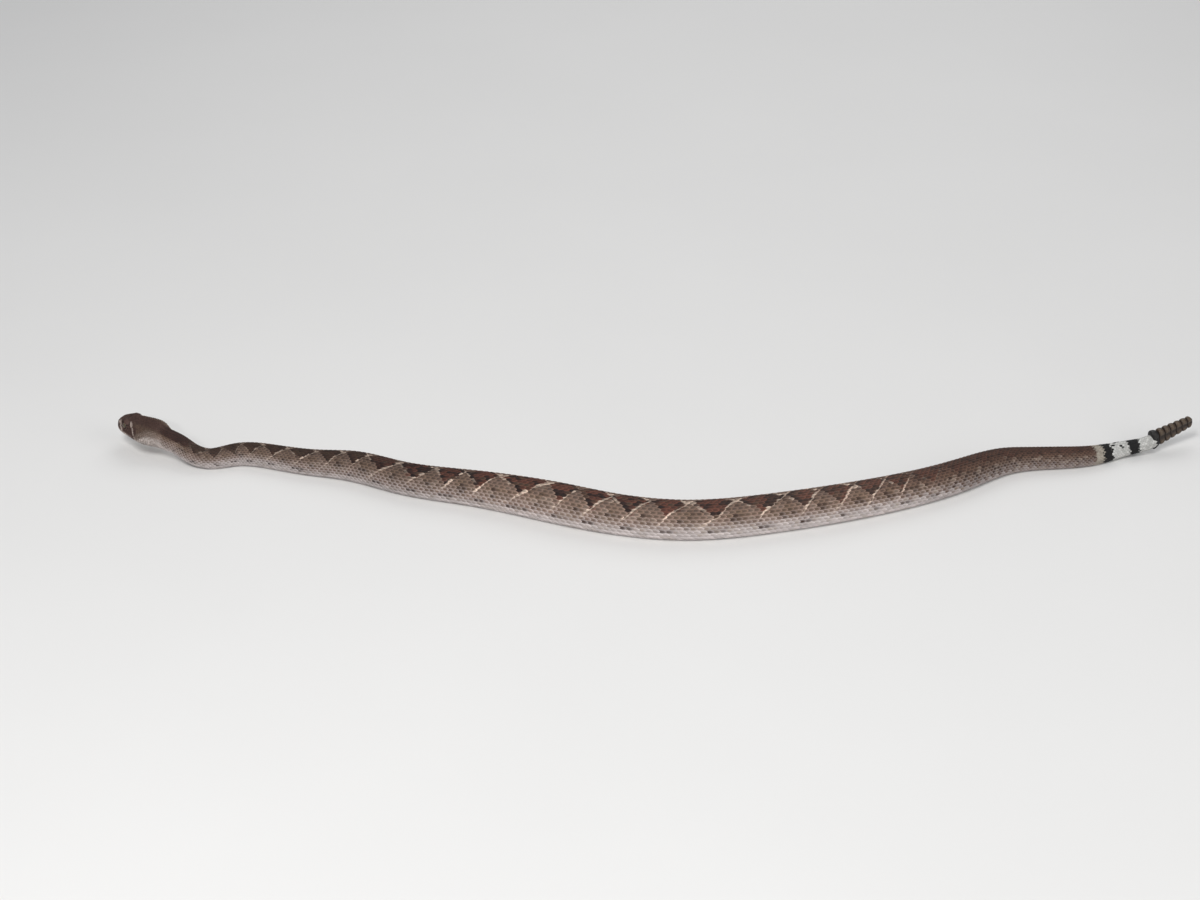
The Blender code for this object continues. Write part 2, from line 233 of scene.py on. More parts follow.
betweenStations = (stations[1:] + stations[:-1]) / 2
columnAt = np.concatenate([[0], np.cumsum(np.diff(stations) / spacingAt(betweenStations))])
plateHalf = np.where(stations < nape, lattice["chinPlateHalf"],
                     section["bellyFlat"] * readProfile(bodyProfile, stations)[:, 0] + lattice["plateOver"])
edgeShare = 1 - plateHalf / halfRound


def edgeAt(s):           # where the rows end and the belly plates begin
    return np.interp(s, stations, edgeShare)


def coatDepth(s):
    pitch = edgeAt(s) * np.interp(s, stations, halfRound) / (lattice["rows"] / 2)
    return lattice["depth"] * np.minimum(pitch, lattice["widestPitch"])


# What the head adds to its bare outline. A swelling has its height, its middle and reach along the head, and
# its middle and reach up the side: in degrees from level, or in millimetres over the belly line
headShape = {
    "end": (nape - 4, 8), "level": 6.5,
    "byAngle": {"brow": (1.1, 13.5, 4.8, 48, 15), "snoutRidge": (0.35, 6, 4, 47, 12)},
    "byHeight": {"hollow": (-0.35, 9, 3.2, 9.6, 2.0), "cheek": (0.5, 36, 8, 8.5, 4),
                 "temple": (-0.3, 24, 6, 13.5, 2.2)},
    "furrow": {"depth": 0.45, "reach": 2.0, "middle": 22, "long": 14, "over": 10},
    "lips": ((0.28, 1.2, 0.8), (0.2, -1.3, 0.8), (-0.5, 0, 0.5)),    # height, distance over the mouth, reach
    "mouthEnd": (45, 3), "eye": (14.0, 9.7, 12.2), "eyeRadius": 3.3,
}
openings = {                 # "at" is s and v; "rim" its height, its distance from the edge, and its reach
    "eye": {"at": (14.0, 12.2), "radius": 2.6, "past": 4, "depth": 2.6, "soft": 0.12,
            "rim": (0.55, 0.65, 0.7)},
    "pit": {"at": (8.3, 9.3), "radius": 1.15, "past": 4, "depth": 1.9, "soft": 0.16,
            "rim": (0.22, 0.45, 0.4)},
    "nostril": {"at": (3.2, 11.2), "radius": 0.85, "past": 3, "depth": 1.3, "soft": 0.14,
                "rim": (0.2, 0.4, 0.35)},
}


def mouthHeight(s):
    rows = np.array(mouthLine, float)
    return np.interp(s, rows[:, 0], rows[:, 1])


def headRelief(s, u, v):
    look = headShape
    relief = 0 * s
    angle = np.degrees(np.arctan2(np.maximum(v - look["level"], 0), np.maximum(u, 1e-6)))
    for across, parts in ((angle, look["byAngle"]), (v, look["byHeight"])):
        for height, middle, reach, upMiddle, upReach in parts.values():
            relief = relief + height * bump(s - middle, reach) * bump(across - upMiddle, upReach)
    furrow = look["furrow"]
    relief = relief - (furrow["depth"] * bump(u, furrow["reach"]) * bump(s - furrow["middle"], furrow["long"])
                       * (v > furrow["over"]))
    mouthEnd, soft = look["mouthEnd"]
    for height, distance, reach in look["lips"]:
        lip = height * bump(v - mouthHeight(s) - distance, reach)
        relief = relief + np.clip((mouthEnd - s) / soft, 0, 1) * lip
    for opening in openings.values():
        height, distance, reach = opening["rim"]
        away = np.hypot(s - opening["at"][0], v - opening["at"][1]) - opening["radius"]
        hole = height * bump(away - distance, reach) - opening["depth"] * below(away, opening["soft"])
        relief = relief + (u > opening["past"]) * hole
    headEnd, soft = look["end"]
    return np.clip((headEnd - s) / soft, 0, 1) * relief


bareTable = np.stack([bareS, bareU, bareV], -1)
bareNormals = normalsOf(bareTable)
relief = headRelief(bareS, bareU, bareV) - coatDepth(stations)[:, None]
skinTable = bareTable + bareNormals * relief[:, :, None]
skinTable[:, (0, -1), 1] = 0
skinNormals = normalsOf(skinTable)


def readTable(table, s, t):          # between the table's points, for t from -1 to 1 and on past the belly
    t = (np.asarray(t, float) + 1) % 2 - 1
    side = np.where(t < 0, -1.0, 1.0)
    i = np.clip(np.interp(s, stations, np.arange(len(stations))), 0, len(stations) - 1.001)
    j = np.clip(np.abs(t) * section["around"], 0, section["around"] - 0.001)
    i0, j0 = i.astype(int), j.astype(int)
    fi, fj = (i - i0)[..., None], (j - j0)[..., None]
    value = ((table[i0, j0] * (1 - fi) + table[i0 + 1, j0] * fi) * (1 - fj)
             + (table[i0, j0 + 1] * (1 - fi) + table[i0 + 1, j0 + 1] * fi) * fj)
    value[..., 1] *= side
    return value


def surface(s, t, height):           # a point of the frame, at a height over the skin
    s, t = np.broadcast_arrays(np.asarray(s, float), np.asarray(t, float))
    point = readTable(skinTable, s, t) + readTable(skinNormals, s, t) * np.asarray(height)[..., None]
    past = np.maximum(s - tailEnd, 0)
    return place(point[..., 0] + past, point[..., 1], point[..., 2])


def shareAtHeight(s, v):             # t on the left side where the bare outline has height v
    s, v = np.broadcast_arrays(np.asarray(s, float), np.asarray(v, float))
    low, high = np.zeros(s.shape), np.ones(s.shape)
    for _ in range(18):                  # each turn halves the search
        middle = (low + high) / 2
        above = readTable(bareTable, s, middle)[..., 2] > v
        low, high = np.where(above, middle, low), np.where(above, high, middle)
    return (low + high) / 2


# Middles of the pale crossings between the diamonds of the back, in millimetres from the snout
crossings = (40, 62, 86, 109, 128, 146, 170, 198, 228, 258, 286, 322, 360, 394, 429, 482, 515, 548, 585,
             623, 671, 720, 757, 793, 826, 858, 893, 928, 962, 996, 1030, 1062, 1095, 1128, 1160)


def onBody(s, t):        # for each place: diamonds counted from the head, share of the way round, distance
    return np.column_stack([np.interp(s, crossings, np.arange(len(crossings))),
                            np.abs((np.asarray(t) + 1) % 2 - 1), s])


# Mesh helpers
def deselectAll():
    bpy.ops.object.select_all(action="DESELECT")


def giveMap(piece, name, values):
    piece.data.attributes.new(name, "FLOAT_VECTOR", "POINT")
    piece.data.attributes[name].data.foreach_set("vector", np.asarray(values, np.float32).ravel())


def bentGrid(name, columns, rows, shape):    # a grid, bent to shape(x, y), with x and y from 0 to 1
    deselectAll()
    bpy.ops.mesh.primitive_grid_add(x_subdivisions=columns, y_subdivisions=rows, size=1)
    piece = bpy.context.object
    piece.name = piece.data.name = name
    flat = np.empty(len(piece.data.vertices) * 3, np.float32)
    piece.data.vertices.foreach_get("co", flat)
    flat = flat.reshape(-1, 3).astype(float) + 0.5
    points, maps = shape(flat[:, 0], flat[:, 1])
    piece.data.vertices.foreach_set("co", np.asarray(points, np.float32).ravel())
    for label, values in maps.items():
        giveMap(piece, label, values)
    return piece


def weld(piece, distance=0.01 * mm):         # closes seams and poles, with the faces pointing out
    bpy.context.view_layer.objects.active = piece
    bpy.ops.object.mode_set(mode="EDIT")
    bpy.ops.mesh.select_all(action="SELECT")
    bpy.ops.mesh.remove_doubles(threshold=distance)
    bpy.ops.mesh.normals_make_consistent(inside=False)
    bpy.ops.object.mode_set(mode="OBJECT")


def finishPiece(piece, material, slot, *nodes, sharp=60):
    deselectAll()
    piece.select_set(True)
    bpy.context.view_layer.objects.active = piece
    bpy.ops.object.shade_smooth_by_angle(angle=math.radians(sharp))
    piece.data.materials.clear()
    piece.data.materials.append(material)
    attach(piece, "root")
    if nodes:
        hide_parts(*nodes)
    print("made", piece.name, len(piece.data.polygons), "faces", flush=True)


# Shader maths: a socket that can be used in sums, and one method that adds any node
class Value:
    def __init__(self, tree, socket):
        self.tree, self.socket = tree, socket

    def __add__(self, other):
        return self.tree.maths("ADD", self, other)

    def __sub__(self, other):
        return self.tree.maths("SUBTRACT", self, other)

    def __rsub__(self, other):
        return self.tree.maths("SUBTRACT", other, self)

    def __mul__(self, other):
        return self.tree.maths("MULTIPLY", self, other)

    def __truediv__(self, other):
        return self.tree.maths("DIVIDE", self, other)

    def __or__(self, other):                 # the stronger of two masks
        return self.tree.maths("MAXIMUM", self, other)

    def __abs__(self):
        return self.tree.maths("ABSOLUTE", self)

    __radd__ = __add__
    __rmul__ = __mul__

    def fraction(self):
        return self.tree.maths("FRACT", self)

    def fade(self, start, end):              # from 0 at start to 1 at end, whichever is the greater
        if start > end:
            return 1 - self.fade(end, start)
        return self.tree.add("ShaderNodeMapRange", {"interpolation_type": "SMOOTHSTEP"},
                             {"Value": self, "From Min": start, "From Max": end})

    def between(self, low, high, soft):
        return self.fade(low - soft, low + soft) * self.fade(high + soft, high - soft)


class Tree:
    def __init__(self, name):
        self.material = bpy.data.materials.new(name)
        self.material.use_nodes = True
        self.nodes, self.links = self.material.node_tree.nodes, self.material.node_tree.links
        self.shader = self.nodes["Principled BSDF"]

    def add(self, kind, settings=None, inputs=None, output=0):
        node = self.nodes.new(kind)
        for name, value in (settings or {}).items():
            setattr(node, name, value)
        for name, value in (inputs or {}).items():
            self.feed(node, name, value)
        return Value(self, node.outputs[output])

    def feed(self, node, name, value):
        found = [s for s in node.inputs if name in (s.identifier, s.name) and s.enabled]
        socket = node.inputs[name] if isinstance(name, int) else found[0]
        if isinstance(value, Value):
            self.links.new(value.socket, socket)
        else:
            socket.default_value = value

    def finish(self, **sockets):             # the shader's own sockets, with their names run together
        names = {s.name.replace(" ", "").lower(): s.name for s in self.shader.inputs if s.enabled}
        for name, value in sockets.items():
            self.feed(self.shader, names[name.lower()], value)
        return self.material

    def maths(self, operation, *values):
        return self.add("ShaderNodeMath", {"operation": operation}, dict(enumerate(values)))

    def mix(self, factor, a, b, kind="MIX"):
        return self.add("ShaderNodeMix", {"data_type": "RGBA", "blend_type": kind, "clamp_factor": True},
                        {"Factor_Float": factor, "A_Color": a, "B_Color": b}, 2)

    def grey(self, value):
        return self.add("ShaderNodeCombineColor", {}, {0: value, 1: value, 2: value})

    def noise(self, scale, detail=3.0, roughness=0.5):
        where = self.add("ShaderNodeTexCoord", output="Object")
        return self.add("ShaderNodeTexNoise", {}, {"Vector": where, "Scale": scale, "Detail": detail,
                                                   "Roughness": roughness})

    def readMap(self, name):                 # three values of an attribute
        vector = self.add("ShaderNodeAttribute", {"attribute_name": name}, output="Vector")
        return [self.add("ShaderNodeSeparateXYZ", {}, {"Vector": vector}, k) for k in range(3)]

    def bumps(self, height, strength, distance):
        return self.add("ShaderNodeBump", {}, {"Height": height, "Strength": strength, "Distance": distance},
                        "Normal")


def rgb(r, g, b):
    return (r, g, b, 1.0)


def paint(tree, colour, colours, *marks):    # each mark, a mask and a colour's name, over those before it
    for mask, name in marks:
        colour = tree.mix(mask, colour, colours[name])
    return colour


# The markings, which skin and scales share. Here and below, "luck" is a chance value of each scale's own
markings = {
    "ground": rgb(0.325, 0.226, 0.184), "rearGround": rgb(0.200, 0.126, 0.095),
    "olive": rgb(0.168, 0.115, 0.074), "brown": rgb(0.165, 0.062, 0.041), "neck": rgb(0.100, 0.053, 0.035),
    "edge": rgb(0.030, 0.012, 0.009), "speck": rgb(0.055, 0.030, 0.022), "cream": rgb(0.84, 0.69, 0.57),
    "belly": rgb(0.63, 0.565, 0.55), "crown": rgb(0.082, 0.045, 0.036), "temple": rgb(0.118, 0.075, 0.054),
    "cheek": rgb(0.20, 0.15, 0.122), "jaw": rgb(0.46, 0.40, 0.37), "stripe": rgb(0.50, 0.41, 0.36),
    "pale": rgb(0.35, 0.315, 0.262), "white": rgb(0.54, 0.54, 0.515), "black": rgb(0.008, 0.007, 0.007),
    "apex": 0.31,                # share of the way round at which a diamond's point lies
    "line": 0.045,               # half width of the cream lines, as a part of a diamond's length
    "lowSpot": 0.545,            # share of the way round at which the small spots of the flank lie
    "shadeTop": 0.52,            # painted shade: how dark the middle of the back is painted beside the flanks
    "shadeEnds": 0.70,           # painted shade: how dark the fore and rear are painted beside the middle of the body
}
fades = {                        # where each marking begins to show, and where it is complete
    # in millimetres from the snout
    "diamonds": (1000, 790), "bold": (800, 560), "rear": (770, 910), "rearGround": (760, 960),
    "neck": (165, 125), "neckBrown": (330, 270), "darkSpots": (250, 350), "lines": (915, 800),
    "foreRise": (80, 125), "foreFall": (240, 175), "midRise": (480, 640), "midFall": (930, 840),
    "bellyDulls": (860, 1060), "foreShade": (450, 330), "rearShade": (800, 960),
    # in shares of the way round
    "oliveFlank": (0.52, 0.34), "brownBack": (0.40, 0.10), "bellyUp": (0.47, 0.67), "clumps": (0.60, 0.48),
    "flecks": (0.15, 0.3), "rearEdge": (0.54, 0.30), "frontEdge": (0.25, 0.12), "backShade": (0.04, 0.52),
}


def groundColour(tree, at):                  # between and below the diamonds
    luck, share, far = at.luck, at.share, at.far
    rear = far.fade(*fades["rear"])
    clear = far.fade(*fades["diamonds"])
    lozenge = (1 - at.fromMiddle) + abs(share - markings["apex"] * 1.12) / markings["apex"]
    lowSpot = at.fromMiddle * 2.6 + abs(share - markings["lowSpot"]) / 0.055
    centre = lozenge.fade(0.42, 0.25) * luck.fade(0.45, 0.6)
    bars = tree.maths("SINE", far * 0.62) * 0.09 * rear          # pale bars come up from the belly plates
    higher = far.fade(*fades["midRise"]) * far.fade(*fades["midFall"]) * 0.095
    higher = higher + far.fade(*fades["foreRise"]) * far.fade(*fades["foreFall"]) * 0.11
    belly = (share + at.wobble * 0.2 + bars + higher).fade(*fades["bellyUp"])
    clumps = (luck + (at.shake + at.wobble) * 0.5 + rear * 0.08).fade(0.84, 0.90)
    flecks = (luck - at.shake * 0.5).fade(0.16, 0.10) * share.fade(*fades["flecks"])
    return paint(tree, markings["ground"], markings,
                 (far.fade(*fades["rearGround"]), "rearGround"),
                 (share.fade(*fades["oliveFlank"]) * (0.15 + luck * 0.4), "olive"),
                 (rear * share.fade(*fades["brownBack"]) * 0.45, "brown"),
                 (lozenge.fade(0.90, 0.30) * (0.20 + luck * 0.5) * clear, "olive"),
                 (centre * clear * 0.7, "speck"),
                 (belly * (1 - far.fade(*fades["bellyDulls"]) * 0.55), "belly"),
                 (lowSpot.fade(1.15, 0.75) * (0.55 + luck * 0.45) * clear, "speck"),
                 (clumps * share.fade(*fades["clumps"]) * (0.45 + rear * 0.30), "speck"),
                 (flecks * (0.25 + rear * 0.15), "cream"))


def diamondColour(tree, at, colour):         # brown scales, with darker ones scattered inside and by the rim
    luck, far = at.luck, at.far
    diamond = at.fromMiddle + at.share / markings["apex"]
    strength = far.fade(*fades["diamonds"]) * 0.50 + far.fade(*fades["bold"]) * 0.22 + 0.28
    second = (luck * 7.3).fraction()         # another chance value
    rim = (diamond + luck * 0.2).fade(0.66, 0.86) * second.fade(0.40, 0.48)
    spots = rim | second.fade(0.76, 0.82) * 0.85
    dark = paint(tree, markings["brown"], markings,
                 (far.fade(*fades["neckBrown"]), "neck"),
                 (luck.fade(0.25, 0.10) * 0.6, "olive"),
                 (spots * (0.55 + far.fade(*fades["darkSpots"]) * 0.45), "edge"))
    return tree.mix(diamond.fade(1.04, 0.94) * strength, colour, dark)


def creamLines(tree, at, colour):            # along the rear edge of each diamond, less along its front edge
    look, luck, far = markings, at.luck, at.far
    neck = far.fade(*fades["neck"])
    phase, share = (a * 0.2 + b * 0.8 for a, b in zip(at.whole[:2], at.exact[:2]))   # partly by whole scales
    lean = (share + (luck - 0.5) * 0.026) / (2 * look["apex"])
    point = phase + (luck - 0.5) * 0.03 + at.wobble + at.shake * 0.06
    wide = look["line"] * (0.35 + luck * 0.9)
    rearEdge = abs((point + lean + 0.5).fraction() - 0.5)
    frontEdge = abs((point - lean + 0.5).fraction() - 0.5)
    reach = (at.exact[1] + neck * 0.14).fade(*fades["rearEdge"]) * (1 - neck * 0.5)
    rearEdge = (rearEdge / wide).fade(1.1, 0.5) * reach * (0.60 + luck * 0.40)
    frontEdge = (frontEdge / wide).fade(1.1, 0.5) * at.exact[1].fade(*fades["frontEdge"])
    frontEdge = frontEdge * luck.fade(0.52, 0.62) * 0.62 * (1 - neck * 0.8)
    knot = (1 - at.fromMiddle) + at.share * 1.1          # where the lines cross on the back
    knot = knot.fade(0.15, 0.10) * luck.fade(0.38, 0.5) * (1 - neck) * 0.85
    return tree.mix((rearEdge | frontEdge | knot) * far.fade(*fades["lines"]), colour, look["cream"])


def bodyColour(tree, whole, exact, luck):    # whole: the scale's own place; exact: the point's place
    wobble = (tree.noise(38.0, 1.0) - 0.5) * 0.22
    shake = tree.noise(170.0, 1.0) - 0.5
    phase = whole[0] + (luck - 0.5) * 0.13 + wobble
    share, far = whole[1] + (luck - 0.5) * 0.02, whole[2]
    fromMiddle = abs(phase.fraction() - 0.5) * 2         # 0 in the middle of a diamond, 1 at a crossing
    at = SimpleNamespace(luck=luck, share=share, far=far, fromMiddle=fromMiddle, wobble=wobble, shake=shake,
                         whole=whole, exact=exact)
    colour = creamLines(tree, at, diamondColour(tree, at, groundColour(tree, at)))
    # painted shade: the back, the fore body and the rear are darkened, as if less lit than the flanks and
    # middle
    tone = share.fade(*fades["backShade"]) * (1 - markings["shadeTop"]) + markings["shadeTop"]
    ends = far.fade(*fades["foreShade"]) | far.fade(*fades["rearShade"])
    tone = tone * (1 - ends * (1 - markings["shadeEnds"]))
    return tree.mix(1.0, colour, tree.grey(tone), "MULTIPLY")


tailMarks = {"pale": (1070.3, 1071.7), "white": (1091.5, 1092.5), "rings": ((1080.5, 1092), (1113, 1125)),
             "specks": (1092, 1112)}


def tailColour(tree, colour, whole, luck):   # pale, then white, with black rings
    ragged = whole[2] + (luck - 0.5) * 1.6 + (tree.noise(240.0, 2.0) - 0.5) * 5.0
    first, second = (ragged.between(*ring, 0.5) for ring in tailMarks["rings"])
    specks = luck.fade(0.88, 0.91) * whole[1].fade(0.4, 0.2) * whole[2].between(*tailMarks["specks"], 1)
    return paint(tree, colour, markings,
                 (ragged.fade(*tailMarks["pale"]), "pale"), (ragged.fade(*tailMarks["white"]), "white"),
                 (first | second | specks, "black"))


faceMarks = {                    # the same for the markings of the head
    # in millimetres from the snout
    "jawRise": (30, 46), "jawFall": (66, 56), "templeBack": (16, 30), "cheekBack": (20, 32),
    "eyePatch": (33, 30), "end": (72, 60), "nape": (55, 88),
    # in shares of the way round
    "temple": (0.10, 0.26), "cheek": (0.38, 0.52), "jaw": (0.55, 0.66), "darkBand": (0.30, 0.60),
    "aheadStripe": (0.22, 0.76), "behindStripe": (0.20, 0.66), "patches": (0.30, 0.22),
    "spot": (35.5, 1.9, 0.645, 0.035),       # middle and reach along the head, then round it
}


def headColour(tree, colour, whole, exact, luck):
    look = faceMarks
    drift = (tree.noise(330.0, 3.0) - 0.5) * 0.5
    share = (whole[1] + exact[1]) * 0.5 + drift * 0.09
    far = (whole[2] + exact[2]) * 0.5 + drift * 3.0 + (luck - 0.5) * 0.8
    lower = far.fade(*look["jawRise"]) * 0.20 * far.fade(*look["jawFall"])   # the pale jaw rises to the rear
    ahead = (share - 0.2) * 15 + tree.maths("MAXIMUM", share - 0.58, 0.0) * 110 + 4.2    # bends along the lip
    ahead = abs(far - ahead).fade(2.3, 1.3) * share.between(*look["aheadStripe"], 0.03)
    behind = abs(far - (share - 0.22) * 33 - 20.5).fade(1.6, 0.7)
    behind = behind * share.between(*look["behindStripe"], 0.03)
    spotS, longSpot, spotT, tallSpot = look["spot"]
    spot = abs(far - spotS) / longSpot + abs(share - spotT) / tallSpot
    skin = paint(tree, markings["crown"], markings,
                 (share.fade(*look["temple"]) * far.fade(*look["templeBack"]), "temple"),
                 ((share + lower).fade(*look["cheek"]) * far.fade(*look["cheekBack"]), "cheek"),
                 ((share + lower).fade(*look["jaw"]), "jaw"),
                 (share.between(*look["darkBand"], 0.03) * far.fade(*look["eyePatch"]), "crown"),
                 ((ahead | behind) * 0.85, "stripe"),
                 (spot.fade(1.1, 0.8) * 0.8, "crown"),
                 (luck.fade(0.85, 0.95) * share.fade(0.6, 0.4) * 0.4, "speck"))
    colour = tree.mix(far.fade(*look["end"]), colour, skin)
    patches = (share + abs(far - 70) * 0.004).fade(*look["patches"]) * far.between(*look["nape"], 3)
    return tree.mix(patches * (share.fade(0.015, 0.05) * 0.3 + 0.62), colour, markings["edge"])


scaleShades = {                        # each scale's own shading, with painted shade at its root
    "trunk": (55, vent), "rim": rgb(0.30, 0.24, 0.2), "core": rgb(0.34, 0.28, 0.22),
    "root": rgb(0.3, 0.25, 0.22), "lighter": rgb(1.9, 1.72, 1.62), "bare": 0.34,
    "grain": 1400.0, "fineGrain": 5200.0,
}


def scaleShading(tree, colour, across, along, share, far):
    onTrunk = far.between(*scaleShades["trunk"], 8)
    rim = abs(across).fade(0.66, 0.95) | along.fade(0.84, 0.96)
    colour = tree.mix(rim * (1 - onTrunk) * 0.55, colour, scaleShades["rim"], "MULTIPLY")
    margin = abs(across).fade(0.34, 0.92) | along.fade(0.62, 0.97)
    core = (1 - margin) * share.fade(0.72, 0.55) * onTrunk
    colour = tree.mix(core * 0.42, colour, scaleShades["core"], "MULTIPLY")
    upper = share.fade(0.50, 0.28) * margin * onTrunk
    colour = tree.mix(upper * 0.55, colour, scaleShades["lighter"], "MULTIPLY")
    pale = share.fade(0.24, 0.50) * 0.40 * (1 - far.fade(700, 1000) * 0.45)
    colour = tree.mix(margin * pale * onTrunk, colour, markings["belly"])
    root = along.fade(0.42, 0.2)             # painted shade: darker where the scale ahead covers it
    colour = tree.mix(root * 0.45, colour, scaleShades["root"], "MULTIPLY")
    ridge = abs(across).fade(0.12, 0.03) * along.between(0.35, 0.9, 0.05)
    dust = tree.noise(1900.0, 2.0).fade(0.52, 0.64) * share.fade(0.66, 0.5)
    return tree.mix(ridge * 0.35 | dust * 0.30, colour, scaleShades["root"], "MULTIPLY")


def coatMaterial(name, scaled):
    tree = Tree(name)
    whole, exact = tree.readMap("bodyMap"), tree.readMap("placeMap")
    across, along, luck = tree.readMap("scaleMap")
    share = whole[1]
    colour = bodyColour(tree, whole, exact, luck)
    colour = headColour(tree, colour, whole, exact, luck)
    colour = tailColour(tree, colour, whole, luck)
    grain = tree.noise(scaleShades["grain"], 4.0)
    if scaled:
        colour = scaleShading(tree, colour, across, along, share, whole[2])
        shade = 0.80 + luck * 0.40
    else:
        shade = grain * 0.1 + scaleShades["bare"]
    shade = shade * (0.92 + grain * 0.16)
    bumps = grain + tree.noise(scaleShades["fineGrain"], 2.0) * 0.5
    return tree.finish(baseColor=tree.mix(1.0, colour, tree.grey(shade), "MULTIPLY"),
                       roughness=0.50 + grain * 0.22 - share.fade(0.6, 0.8) * 0.08, specularIorLevel=0.28,
                       normal=tree.bumps(bumps, 0.35, 0.0003))


coat = coatMaterial("scale_horn", True)
underCoat = coatMaterial("skin_between_scales", False)


# Scales, each kind modelled once: outline, rise to the free tip, dome and keel, with the underside closed
keeled = {
    "columns": (-1, -0.82, -0.45, -0.13, 0, 0.13, 0.45, 0.82, 1), "rows": (0, 0.22, 0.5, 0.76, 0.93, 1),
    "width": (0.62, 0.90, 1.0, 0.80, 0.46, 0.14), "rise": (0.0, 0.19, 0.42, 0.64, 0.78, 0.80),
    "dome": (0.02, 0.12, 0.24, 0.24, 0.14, 0.03), "keel": (0, 0.14, 0.36, 0.44, 0.38, 0.16), "drop": 0.13,
}
shield = {
    "columns": (-1, -0.88, -0.5, 0, 0.5, 0.88, 1), "rows": (0, 0.1, 0.35, 0.65, 0.9, 1),
    "width": (0.80, 0.94, 1.0, 1.0, 0.94, 0.80), "rise": (0.1, 0.55, 0.70, 0.75, 0.65, 0.15),
    "dome": (0.0, 0.16, 0.3, 0.3, 0.16, 0), "keel": (0, 0, 0, 0, 0, 0), "drop": 0.45,
}
plate = {
    "columns": (-1, -0.97, -0.9, -0.75, -0.5, -0.25, 0, 0.25, 0.5, 0.75, 0.9, 0.97, 1),
    "rows": (0, 0.35, 0.75, 0.95, 1), "width": (0.985, 1.0, 1.0, 0.985, 0.96),
    "rise": (0, 0.35, 0.8, 1.0, 0.85), "dome": (0, 0, 0, 0, 0), "keel": (0, 0, 0, 0, 0), "drop": 0.1,
}


def modelScale(name, look):
    columns, rows = np.array(look["columns"], float), np.array(look["rows"], float)
    plain = 0.2 * (max(look["keel"]) == 0)       # keeps the keel's dark line off scales without a keel

    def shape(x, y):
        i = np.rint(x * (len(columns) - 1)).astype(int)
        j = np.rint(y * (len(rows) - 1)).astype(int)
        across, along = columns[i], rows[j]
        rise, dome, keel, width = (np.array(look[k], float)[j] for k in ("rise", "dome", "keel", "width"))
        height = rise + dome * (1 - across ** 2) + keel * (across == 0)
        height = height - look["drop"] * (np.abs(across) == 1)
        maps = {"scaleMap": np.column_stack([np.maximum(np.abs(across), plain), along, 0 * x])}
        return np.column_stack([across * width, along, height]), maps

    piece = bentGrid(name, len(columns) - 1, len(rows) - 1, shape)
    bpy.ops.object.mode_set(mode="EDIT")
    bpy.ops.mesh.select_all(action="SELECT")
    bpy.ops.mesh.region_to_loop()
    bpy.ops.mesh.edge_face_add()
    bpy.ops.mesh.select_all(action="SELECT")
    bpy.ops.mesh.normals_make_consistent(inside=False)
    bpy.ops.object.mode_set(mode="OBJECT")
    mesh = piece.data
    x, y, z = np.array([v.co for v in mesh.vertices], float).T
    across, along, _ = np.array([v.vector for v in mesh.attributes["scaleMap"].data], float).T
    loops = np.array([loop.vertex_index for loop in mesh.loops])
    starts = np.array([p.loop_start for p in mesh.polygons])
    bpy.data.objects.remove(piece)
    return {"x": x, "y": y, "z": z, "across": across, "along": along, "loops": loops, "starts": starts}


masters = {"keeled": modelScale("one_scale", keeled), "shield": modelScale("one_shield", shield),
           "plate": modelScale("one_plate", plate)}


# Many copies of one scale as one mesh. s, t and height hold a row of vertices for each copy; at is each
# copy's own place (s, t), uv its place on the unwrap, patch the size of a copy there
def copies(name, master, s, t, height, at, uv, patch):
    count, corners = s.shape
    points = surface(s, t, height).reshape(-1, 3)
    mesh = bpy.data.meshes.new(name)
    mesh.vertices.add(count * corners)
    mesh.vertices.foreach_set("co", points.astype(np.float32).ravel())
    offsets = (np.arange(count) * corners)[:, None]
    loops = (master["loops"][None] + offsets).ravel()
    starts = (master["starts"][None] + (np.arange(count) * len(master["loops"]))[:, None]).ravel()
    mesh.loops.add(len(loops))
    mesh.loops.foreach_set("vertex_index", loops.astype(np.int32))
    mesh.polygons.add(len(starts))
    mesh.polygons.foreach_set("loop_start", starts.astype(np.int32))
    mesh.update(calc_edges=True)
    mesh.validate()
    piece = bpy.data.objects.new(name, mesh)
    bpy.context.scene.collection.objects.link(piece)
    luck = np.repeat(randomiser.random(count), corners)
    across, along = np.tile(master["across"], count), np.tile(master["along"], count)
    giveMap(piece, "bodyMap", np.repeat(onBody(at[:, 0], at[:, 1]), corners, axis=0))
    giveMap(piece, "placeMap", onBody(s.ravel(), np.broadcast_to(t, s.shape).ravel()))
    giveMap(piece, "scaleMap", np.column_stack([across, along, luck]))
    spread = np.stack([master["y"] - 0.5, master["x"] * 0.5], -1)
    flat = uv[:, None, :] + spread[None] * np.asarray(patch)[:, None, :]
    layer = mesh.uv_layers.new(name="OFBake")
    layer.data.foreach_set("uv", flat.reshape(-1, 2)[loops].astype(np.float32).ravel())
    return piece


# Rows of keeled scales, on the head as on the body. Their numbers count from the middle of the back and are
# negative on the right. "overlap" is a scale's length beside the way to the next, "breadth" its width
headScales = {"from": 5.2, "overlap": 1.30, "breadth": 1.42, "upperLip": 2.75, "lowerLip": 2.45,
              "corner": 43.5, "blend": 26.0}
dorsal = {"from": 56.4, "overlap": 1.62, "breadth": 1.28, "backRows": 0.90, "headEnds": (50, 10)}
thickness = (5, 20, 50, 60), (0.53, 0.72, 0.85, 0.80)    # at these s, this share of the coat's depth
alongHead = np.minimum(stations, headScales["corner"])
upperEdge = shareAtHeight(alongHead, mouthHeight(alongHead) + headScales["upperLip"])
lowerEdge = shareAtHeight(alongHead, mouthHeight(alongHead) - headScales["lowerLip"])


def easeFrom(s, start, length):
    x = np.clip((s - start) / length, 0, 1)
    return x * x * (3 - 2 * x)


def rowsEnd(s):          # the lower edge of the keeled rows: over the lips, then down to the belly plates
    down = easeFrom(s, headScales["corner"], headScales["blend"])
    return np.interp(s, stations, upperEdge) * (1 - down) + edgeAt(s) * down


